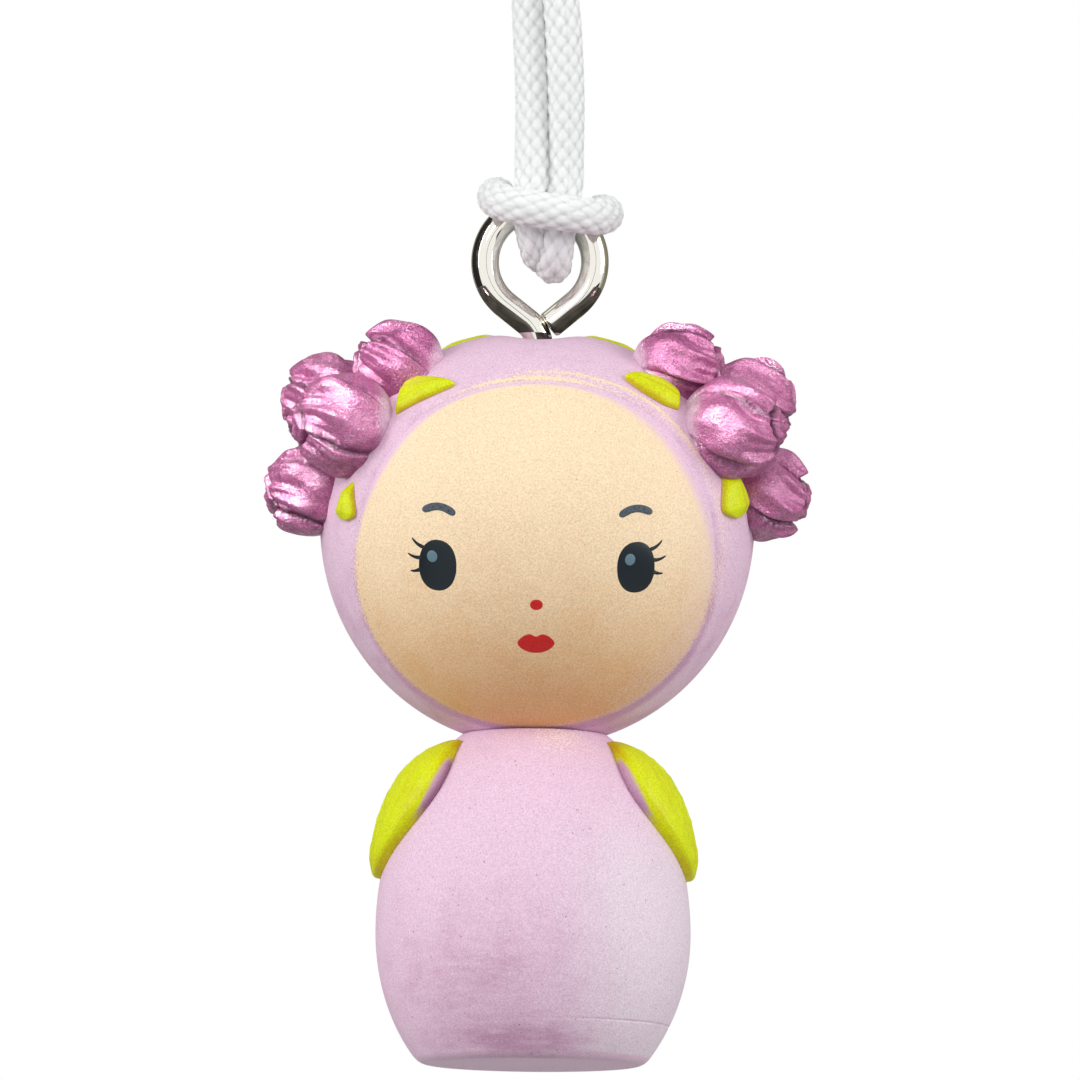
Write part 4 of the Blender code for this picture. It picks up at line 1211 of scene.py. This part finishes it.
def painted(
    name, main, deep, dust, dust_deep=None, worn=None, roughness=0.55, pit_depth=1.0, mottled=0.3, brushed=0.0
):
    """Matt hand paint on a casting: mottled and grainy, pitted, with a second paint dusted on.

    The main colour runs to its deep one by the deep layer, which on several pieces carries painted
    shade, and a broad noise. The second colour comes in by the dust layer, broken up by a fine noise where
    it is neither bare nor full, and runs to a deep one of its own by a further layer. Level brush marks
    can streak the deep paint, and the main colour can turn paler by a further layer, which on the body is
    painted sheen.
    """
    material, tree, shader, where = new_material(name, {"Roughness": roughness, "Specular IOR Level": 0.25})
    # A paler main colour by its layer: painted sheen on the body's right.
    if worn:
        main = blend_colour(tree, layer(tree, "worn"), main, worn)
    if dust_deep:
        dust = blend_colour(tree, layer(tree, "dust_deep"), dust, dust_deep)
    depth = layer(tree, "deep")
    if brushed:
        drawn = add_node(tree, "Mapping", {"Vector": where, "Scale": (0.2, 0.2, 1.0)}).outputs[0]
        marks = noise(tree, drawn, 0.4 * MM, 4.0, 0.65)
        depth = times(tree, depth, spread(tree, marks, 0.3, 0.7, 1.0 - brushed, 1.0 + brushed))
    mottle = noise(tree, where, 2.2 * MM, 4.0, 0.6)
    pooled = plus(tree, depth, spread(tree, mottle, 0.35, 0.75, -0.3 * mottled, mottled))
    paint = blend_colour(tree, spread(tree, pooled, 0.0, 1.0), main, deep)
    grain = noise(tree, where, 0.11 * MM, 3.0, 0.65)
    broken = times(tree, calc(tree, "SUBTRACT", grain, 0.5), 7.54)
    bare = layer(tree, "dust")
    half_way = times(tree, bare, calc(tree, "SUBTRACT", 1.0, bare))
    dusted = plus(tree, bare, times(tree, half_way, broken))
    paint = blend_colour(tree, spread(tree, dusted, 0.18, 0.82), paint, dust)
    paint = toned(tree, paint, spread(tree, grain, 0.30, 0.70, 0.80, 1.09))
    holes = calc(tree, "MAXIMUM", *(pits(tree, where, spacing, radius) for spacing, radius in PITS))
    paint = blend_colour(tree, times(tree, holes, 0.62 * pit_depth), paint, PIT_SHADE)
    relief = calc(tree, "SUBTRACT", times(tree, grain, 0.5), times(tree, holes, 1.6 * pit_depth))
    links = {
        "Base Color": paint,
        "Normal": bumped(tree, relief, 0.35, 0.03 * MM),
        "Roughness": spread(tree, grain, 0.3, 0.7, roughness - 0.06, roughness + 0.08),
    }
    connect(tree, shader, links)
    return material


def pearly(name, pearl, deep, dust):
    """Pearl paint: a clear coat over flakes that break up its shine, and dusted with lilac below."""
    values = {"Coat Weight": 1.0, "Coat IOR": 1.55, "Coat Roughness": 0.12, "Specular IOR Level": 0.3}
    material, tree, shader, where = new_material(name, values)
    mottle = noise(tree, where, 0.5 * MM, 4.0, 0.65)
    pooled = plus(tree, layer(tree, "deep"), spread(tree, mottle, 0.40, 0.75, -0.1, 0.3))
    paint = blend_colour(tree, spread(tree, pooled, 0.0, 1.0), pearl, deep)
    flakes = add_node(tree, "TexVoronoi", {"Vector": where, "Scale": 1.0 / (0.075 * MM)}).outputs["Color"]
    paint = toned(tree, paint, spread(tree, flakes, 0.15, 0.85, 0.68, 1.30))
    grain = noise(tree, where, 0.12 * MM, 3.0, 0.65)
    bare = plus(tree, layer(tree, "dust"), calc(tree, "SUBTRACT", grain, 0.5))
    sprayed = spread(tree, bare, 0.25, 0.95)
    paint = blend_colour(tree, sprayed, paint, dust)
    ripples = times(tree, noise(tree, where, 0.5 * MM, 4.0, 0.7), 2.6)
    relief = plus(tree, plus(tree, grain, ripples), times(tree, flakes, 0.7))
    bump = bumped(tree, relief, 1.0, 0.05 * MM)
    patches = spread(tree, noise(tree, where, 0.32 * MM, 4.0, 0.7), 0.4, 0.6, 0.2, 1.0)
    links = {
        "Base Color": paint,
        "Normal": bump,
        "Roughness": spread(tree, flakes, 0.0, 1.0, 0.27, 0.42),
        "Metallic": spread(tree, sprayed, 0.0, 1.0, 0.15, 0.0),
        "Coat Normal": bump,
        "Coat Weight": times(tree, patches, spread(tree, sprayed, 0.0, 1.0, 1.0, 0.1)),
    }
    connect(tree, shader, links)
    return material


def plated(name, colour):
    """Bright nickel plate: faint draw marks in its gloss, and dull in the thread."""
    material, tree, shader, where = new_material(name, {"Base Color": colour, "Metallic": 1.0})
    haze = noise(tree, where, 0.5 * MM, 4.0, 0.6)
    gloss = spread(tree, haze, 0.35, 0.75, 0.03, 0.08)
    links = {
        "Normal": bumped(tree, haze, 0.06, 0.02 * MM),
        "Roughness": plus(tree, gloss, times(tree, layer(tree, "deep"), 0.3)),
    }
    connect(tree, shader, links)
    return material


def braided(name, colour, deep):
    """White polyester braid: fine filaments along each strand, greyed by painted shade in the gaps, softly
    shiny.
    """
    values = {
        "Roughness": 0.42,
        "Sheen Weight": 0.8,
        "Subsurface Weight": 0.4,
        "Subsurface Radius": (0.6 * MM, 0.6 * MM, 0.6 * MM),
        "Subsurface Scale": 1.0,
    }
    material, tree, shader, where = new_material(name, values)
    turns = times(tree, layer(tree, "strand"), 6.0 * TURN)
    wander = times(tree, noise(tree, where, 0.25 * MM), 5.0)
    filaments = calc(tree, "SINE", plus(tree, turns, wander))
    gaps = plus(tree, layer(tree, "deep"), times(tree, filaments, -0.06))
    fuzz = plus(tree, filaments, times(tree, noise(tree, where, 0.07 * MM, 3.0, 0.7), 3.0))
    links = {
        "Base Color": blend_colour(tree, spread(tree, gaps, 0.0, 1.0), colour, deep),
        "Normal": bumped(tree, fuzz, 0.5, 0.02 * MM),
    }
    connect(tree, shader, links)
    return material


def film_paint(name, colour, deep, roughness):
    """Printed paint: a thin, slightly glossy film, speckled where it lies thin."""
    material, tree, shader, where = new_material(name, {"Roughness": roughness, "Specular IOR Level": 0.3})
    speck = noise(tree, where, 0.11 * MM, 3.0, 0.6)
    links = {
        "Base Color": blend_colour(tree, spread(tree, speck, 0.42, 0.72), colour, deep),
        "Normal": bumped(tree, speck, 0.2, 0.02 * MM),
    }
    connect(tree, shader, links)
    return material


def turned_wood(name, colour, deep):
    """Birch dowel: streaks stretched along its length."""
    material, tree, shader, where = new_material(name, {"Roughness": 0.7})
    stretched = add_node(tree, "Mapping", {"Vector": where, "Scale": (1.0, 1.0, 0.12)}).outputs[0]
    streaks = noise(tree, stretched, 0.25 * MM, 4.0, 0.6)
    links = {
        "Base Color": blend_colour(tree, spread(tree, streaks, 0.35, 0.7), colour, deep),
        "Normal": bumped(tree, streaks, 0.3, 0.05 * MM),
    }
    connect(tree, shader, links)
    return material


# Stage


# Points above the doll's foot that the camera, the lamps and the cards face, and the floor's level and
# reach, in metres
VIEW_AIM = np.array((0.18, 0.0, 32.35)) * MM
LAMP_AIM = 28.0 * MM * UP
CARD_AIM = 45.0 * MM * UP
FLOOR_LEVEL = -40.0 * MM
FLOOR_REACH = 0.25

# Places are in metres from the point that is faced, and a reach is a width and a height.
Lamp = namedtuple("Lamp", "name place reach watts")
LAMPS = (
    Lamp("key_lamp", (-0.14, -0.6, 0.24), (0.16, 0.16), 1.04),
    Lamp("left_lamp", (-0.55, -0.2, 0.2), (0.3, 0.4), 1.62),
    Lamp("right_lamp", (0.55, -0.2, 0.16), (0.3, 0.4), 1.6),
)
PETAL_LAMPS = (
    Lamp("petal_lamp", (-0.3, -0.4, 0.33), (0.4, 0.36), 27.0),
    Lamp("petal_strip", (0.42, -0.36, 0.12), (0.06, 0.36), 3.0),
)

# A card's colour runs to a share of itself, darker in patches of a length.
BLACK = (0.008, 0.008, 0.008, 1.0)
BROWN = (0.09, 0.075, 0.06, 1.0)
TAN = (0.3, 0.27, 0.2, 1.0)
Card = namedtuple("Card", "name place reach colour worn patch", defaults=(BLACK, 0.7, 80.0 * MM))
CARDS = (
    Card("left_card", (-0.396, 0.056, 0.02), (0.65, 0.8)),
    Card("right_line", (0.4, -0.014, 0.0), (0.035, 0.8)),
    Card("front_line", (0.065, -0.39, 0.0), (0.018, 0.5)),
    Card("low_right_card", (0.26, -0.18, -0.25), (0.37, 0.37)),
    Card("low_left_card", (-0.22, -0.2, -0.28), (0.3, 0.2)),
    # A brown card at the crown that only the gloss sees: a painted dark reflection in the eye's lower wire,
    # where the hood would show.
    Card("crown_card", (0.0, 0.0, 0.1 * MM), (0.024, 0.024), BROWN, 0.03, 3.0 * MM),
    Card("back_left_card", (-0.15, 0.371, 0.0), (0.29, 0.8), TAN),
    Card("back_right_card", (0.283, 0.283, 0.0), (0.67, 0.8), TAN),
)


# Operators


class DOLL_OT_body(bpy.types.Operator):
    """Build the body, and give the dowel in its neck a finish"""

    bl_idname = "doll.body"
    bl_label = "Body"

    def execute(self, context):
        doll, colours = context.scene.doll_sizes, context.scene.doll_colours
        paint = painted(
            "lilac_paint",
            colours.lilac,
            colours.lilac_deep,
            colours.lime,
            colours.pale,
            colours.worn,
            mottled=0.2,
            brushed=0.35,
        )
        add_doll_piece("painted_body", [body_stack(doll)], paint, "lilac_paint", "body")
        wood = turned_wood("dowel_wood", colours.wood, colours.wood_deep)
        dowel = frame["nodes"]["neck_dowel"]
        dowel.data.materials.clear()
        dowel.data.materials.append(wood)
        return {"FINISHED"}


class DOLL_OT_head(bpy.types.Operator):
    """Build the hood and the face set into it"""

    bl_idname = "doll.head"
    bl_label = "Head and face"

    def execute(self, context):
        doll, colours = context.scene.doll_sizes, context.scene.doll_colours
        hood = painted("hood_paint", colours.lilac, colours.lilac_deep, colours.cream, colours.cream_deep)
        skin = painted(
            "cream_paint", colours.cream, colours.cream_deep, colours.lilac, pit_depth=0.6, mottled=0.12
        )
        add_doll_piece("painted_hood", [head_stack(doll)], hood, "lilac_paint", "head")
        add_doll_piece("painted_face", [face_stack(doll)], skin, "cream_paint", "face")
        return {"FINISHED"}


class DOLL_OT_features(bpy.types.Operator):
    """Paint a plain doll's features on the face: eyes, lashes, brows, nose and lips"""

    bl_idname = "doll.features"
    bl_label = "Painted features"

    eye_place: bpy.props.FloatVectorProperty(
        name="Eye place",
        description="Millimetres out and up from the face's axis",
        default=(6.35, 0.0),
        size=2,
    )
    eye_half: bpy.props.FloatVectorProperty(
        name="Eye half size",
        description="Half an eye's width and height in millimetres",
        default=(1.2, 1.68),
        size=2,
    )

    def eye_stacks(self, doll, side):
        """One eye, its lashes, its brow and its light, each a list of films."""
        x, z = self.eye_place
        wide, high = self.eye_half
        eye = film_stack(doll, (side * x, z), oval(wide, high, 2.2))
        lashes = []
        for lash in LASHES:
            start = (side * (x + wide * (0.94 - 0.35 * abs(lash.foot))), z + high * lash.foot)
            end = (start[0] + side * lash.out, start[1] + lash.up)
            lashes.append(film_stack(doll, *stroke((start, end), -side * lash.bow, 0.30, 0.10)))
        ends = ((side * (x - 1.05), z + 3.35), (side * (x + 1.05), z + 3.30))
        brow = film_stack(doll, *stroke(ends, side * 0.42, 0.52, 0.46))
        glint = film_stack(doll, (side * x - 0.36, z + 0.55), oval(0.36, 0.42), films=1.6)
        return [eye], lashes, [brow], [glint]

    def execute(self, context):
        doll, colours = context.scene.doll_sizes, context.scene.doll_colours
        navy = film_paint("navy_paint", colours.navy, colours.navy, 0.34)
        light = film_paint("glint_paint", colours.glint, colours.glint, 0.4)
        grey = film_paint("brow_paint", colours.brow, colours.navy, 0.5)
        red = film_paint("red_paint", colours.red, colours.red_deep, 0.4)
        pairs = zip(*(self.eye_stacks(doll, side) for side in SIDES.values()))
        eyes, lashes, brows, glints = (left + right for left, right in pairs)
        nose = film_stack(doll, (0.0, -2.2), oval(0.42, 0.36))
        lips = film_stack(doll, (0.0, -4.8), lips_outline(1.2, 0.72, 0.66))
        add_doll_piece("painted_eyes", eyes, navy, "cream_paint")
        add_doll_piece("painted_lashes", lashes, navy, "cream_paint")
        add_doll_piece("painted_brows", brows, grey, "cream_paint")
        add_doll_piece("painted_glints", glints, light, "cream_paint")
        add_doll_piece("painted_nose", [nose], red, "cream_paint")
        add_doll_piece("painted_lips", [lips], red, "cream_paint")
        return {"FINISHED"}


class DOLL_OT_sleeves(bpy.types.Operator):
    """Build the leaf-shaped sleeves on the shoulders"""

    bl_idname = "doll.sleeves"
    bl_label = "Sleeves"

    def execute(self, context):
        doll, colours = context.scene.doll_sizes, context.scene.doll_colours
        paint = painted(
            "lime_paint",
            colours.lime,
            colours.lime_deep,
            colours.lilac_deep,
            colours.mauve,
            roughness=0.42,
            pit_depth=0.25,
        )
        for name, side in SIDES.items():
            stack = sleeve_stack(doll, side)
            add_doll_piece(f"leaf_sleeve_{name}", [stack], paint, "lime_paint", f"sleeve_{name}")
        return {"FINISHED"}


class DOLL_OT_garland(bpy.types.Operator):
    """Build the blossoms and the leaves on both sides of the hood"""

    bl_idname = "doll.garland"
    bl_label = "Blossoms and leaves"

    def execute(self, context):
        scene = context.scene
        doll, garland, colours = scene.doll_sizes, scene.doll_garland, scene.doll_colours
        pearl = pearly("pearl_paint", colours.pearl, colours.pearl_deep, colours.lilac)
        lime = painted(
            "leaf_paint", colours.lime, colours.lime_deep, colours.lilac_deep, roughness=0.42, pit_depth=0.25
        )
        for side_name, side in SIDES.items():
            rooms = []
            for name in BLOSSOMS:
                stack = blossom_stack(doll, garland, side, name, rooms)
                node = f"blossom_{side_name}_{name}"
                bud = add_doll_piece(f"rosebud_{side_name}_{name}", [stack], pearl, "pearl_paint", node)
                petal_group().objects.link(bud)
                reach = garland.blossom_radius * BLOSSOMS[name].scale
                rooms.append((blossom_place(doll, garland, side, name)[0], reach))
            for name, leaf in LEAVES[side_name].items():
                stack = leaf_stack(doll, garland, side, leaf)
                node = f"hair_leaf_{side_name}_{name}"
                add_doll_piece(f"leaf_{side_name}_{name}", [stack], lime, "lime_paint", node)
        return {"FINISHED"}


class DOLL_OT_screw_eye(bpy.types.Operator):
    """Build the screw eye from its bent wire"""

    bl_idname = "doll.screw_eye"
    bl_label = "Screw eye"

    def execute(self, context):
        hanger, colours = context.scene.doll_hanger, context.scene.doll_colours
        plate = plated("nickel_plate", colours.nickel)
        add_doll_piece("wire_screw_eye", [eye_stack(hanger)], plate, "nickel", "screw_eye")
        return {"FINISHED"}


class DOLL_OT_cord(bpy.types.Operator):
    """Build the braided cord: hitch and loop in one"""

    bl_idname = "doll.cord"
    bl_label = "Cord"

    def execute(self, context):
        hanger, colours = context.scene.doll_hanger, context.scene.doll_colours
        braid = braided("white_braid", colours.cord, colours.cord_gap_shade)
        rings, layers, path, length = cord_stack(hanger)
        cord = add_piece("braided_cord", [(rings, layers)], braid)
        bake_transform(cord)
        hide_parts("cord_loop", "cord_hitch")
        return {"FINISHED"}


class DOLL_OT_stage(bpy.types.Operator):
    """Set the camera, the lights, the white surround and the floor"""

    bl_idname = "doll.stage"
    bl_label = "Stage"

    view_width: size("View width", "Width of the picture at the doll", 66.4)
    view_distance: size("View distance", "Distance of the camera", 2000.0)
    view_elevation: angle("View elevation", "Height of the camera above the horizon", -4.7)
    view_roll: angle("View roll", "Lean of the camera", 0.6)

    def add_camera(self, scene):
        data = bpy.data.cameras.new("camera")
        data.sensor_width = 36.0
        data.lens = data.sensor_width * self.view_distance / self.view_width
        data.clip_end = 10.0
        camera = add_object("camera", data)
        back = Vector((0.0, -math.cos(self.view_elevation), math.sin(self.view_elevation)))
        camera.location = Vector(FOOT + VIEW_AIM) + back * self.view_distance
        look = (-back).to_track_quat("-Z", "Y").to_euler()
        look.rotate_axis("Z", self.view_roll)
        camera.rotation_euler = look
        scene.camera = camera

    def add_lamp(self, lamp, only_for=None):
        """A soft lamp that faces the doll, or one whose gloss alone shows on some pieces."""
        data = bpy.data.lights.new(lamp.name, "AREA")
        data.shape = "RECTANGLE"
        data.size, data.size_y = lamp.reach
        data.energy = lamp.watts
        made = add_object(lamp.name, data)
        made.location = Vector(FOOT + LAMP_AIM) + Vector(lamp.place)
        made.rotation_euler = (-Vector(lamp.place)).to_track_quat("-Z", "Y").to_euler()
        if only_for:
            made.visible_diffuse = False
            made.light_linking.receiver_collection = only_for

    def add_surround(self, scene):
        """A white surround for what the camera and the gloss see, and a plain level of light."""
        world = bpy.data.worlds.new("surround")
        scene.world = world
        world.use_nodes = True
        tree = world.node_tree
        tree.nodes.clear()
        rays = add_node(tree, "LightPath").outputs
        seen = calc(tree, "MAXIMUM", rays["Is Camera Ray"], rays["Is Transmission Ray"])
        seen = calc(tree, "MAXIMUM", seen, rays["Is Glossy Ray"])
        way = add_node(tree, "SeparateXYZ", {0: add_node(tree, "TexCoord").outputs["Generated"]}).outputs[2]
        level = times(tree, spread(tree, way, -0.9, 0.3, 0.34, 0.61), calc(tree, "SUBTRACT", 1.0, seen))
        inputs = {"Color": (1.0, 1.0, 1.0, 1.0), "Strength": plus(tree, level, seen)}
        add_node(tree, "OutputWorld", {0: add_node(tree, "Background", inputs).outputs[0]})

    def add_floor(self, colours):
        """A round pale floor under the doll that fades into the surround."""
        reach = np.linspace(0.0, FLOOR_REACH, 30)[1:, None]
        turn = around(96)[None]
        upper = spun(reach, FLOOR_LEVEL, turn)
        lower = spun(reach[::-1], FLOOR_LEVEL - 0.5 * MM, turn)
        mesh = ring_mesh("floor", [(np.concatenate([upper, lower]), {})])
        values = {"Base Color": colours.floor, "Roughness": 0.9, "Specular IOR Level": 0.1}
        material, tree, shader, where = new_material("floor", values)
        flat = add_node(tree, "VectorMath", {0: where, 1: (1.0, 1.0, 0.0)}, operation="MULTIPLY").outputs[0]
        distance = add_node(tree, "VectorMath", {0: flat}, operation="LENGTH").outputs["Value"]
        connect(tree, shader, {"Alpha": spread(tree, distance, 0.08, 0.24, 1.0, 0.0)})
        mesh.materials.append(material)
        floor = add_object("floor", mesh)
        floor.visible_diffuse = False

    def add_card(self, card):
        """A dark card that only the gloss sees: a studio flag, or at the crown a painted dark reflection. It
        is uneven in patches, and not quite black.
        """
        wide, high = card.reach
        corners = np.array(((-wide, 0, -high), (wide, 0, -high), (wide, 0, high), (-wide, 0, high))) / 2.0
        turn = np.array((-Vector(card.place)).to_track_quat("-Y", "Z").to_matrix())
        points = FOOT + CARD_AIM + np.array(card.place) + corners @ turn.T
        mesh = bpy.data.meshes.new(card.name)
        mesh.from_pydata(points.tolist(), [], [(0, 1, 2, 3)])
        material, tree, shader, where = new_material(card.name, {"Roughness": 0.9})
        dark = tuple(card.worn * channel for channel in card.colour)
        tone = spread(tree, noise(tree, where, card.patch), 0.3, 0.7)
        connect(tree, shader, {"Base Color": blend_colour(tree, tone, card.colour, dark)})
        mesh.materials.append(material)
        made = add_object(card.name, mesh)
        made.visible_camera = False
        made.visible_diffuse = False
        made.visible_shadow = False
        made.visible_transmission = False

    def execute(self, context):
        scene = context.scene
        scene.view_settings.view_transform = "Standard"
        self.add_camera(scene)
        self.add_surround(scene)
        self.add_floor(scene.doll_colours)
        for lamp in LAMPS:
            self.add_lamp(lamp)
        for lamp in PETAL_LAMPS:
            self.add_lamp(lamp, petal_group())
        for card in CARDS:
            self.add_card(card)
        return {"FINISHED"}


class DOLL_PT_panel(bpy.types.Panel):
    """The doll's pieces, with a button for each"""

    bl_idname = "DOLL_PT_panel"
    bl_label = "Keychain Doll"
    bl_space_type = "VIEW_3D"
    bl_region_type = "UI"
    bl_category = "Doll"

    def draw(self, context):
        for operator in OPERATORS:
            self.layout.operator(operator.bl_idname)


OPERATORS = (
    DOLL_OT_stage,
    DOLL_OT_cord,
    DOLL_OT_screw_eye,
    DOLL_OT_body,
    DOLL_OT_sleeves,
    DOLL_OT_head,
    DOLL_OT_features,
    DOLL_OT_garland,
)
GROUPS = {
    "doll_sizes": DollSizes,
    "doll_garland": GarlandSizes,
    "doll_hanger": HangerSizes,
    "doll_colours": DollColours,
}


def register():
    for cls in (*GROUPS.values(), *OPERATORS, DOLL_PT_panel):
        bpy.utils.register_class(cls)
    for name, group in GROUPS.items():
        setattr(bpy.types.Scene, name, bpy.props.PointerProperty(type=group))


def unregister():
    for name in GROUPS:
        delattr(bpy.types.Scene, name)
    for cls in (DOLL_PT_panel, *reversed(OPERATORS), *reversed(GROUPS.values())):
        bpy.utils.unregister_class(cls)


def main():
    register()
    bpy.ops.doll.stage()
    bpy.ops.doll.cord()
    bpy.ops.doll.screw_eye()
    bpy.ops.doll.body()
    bpy.ops.doll.sleeves()
    bpy.ops.doll.head()
    bpy.ops.doll.features()
    bpy.ops.doll.garland()
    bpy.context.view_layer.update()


if __name__ == "__main__":
    main()
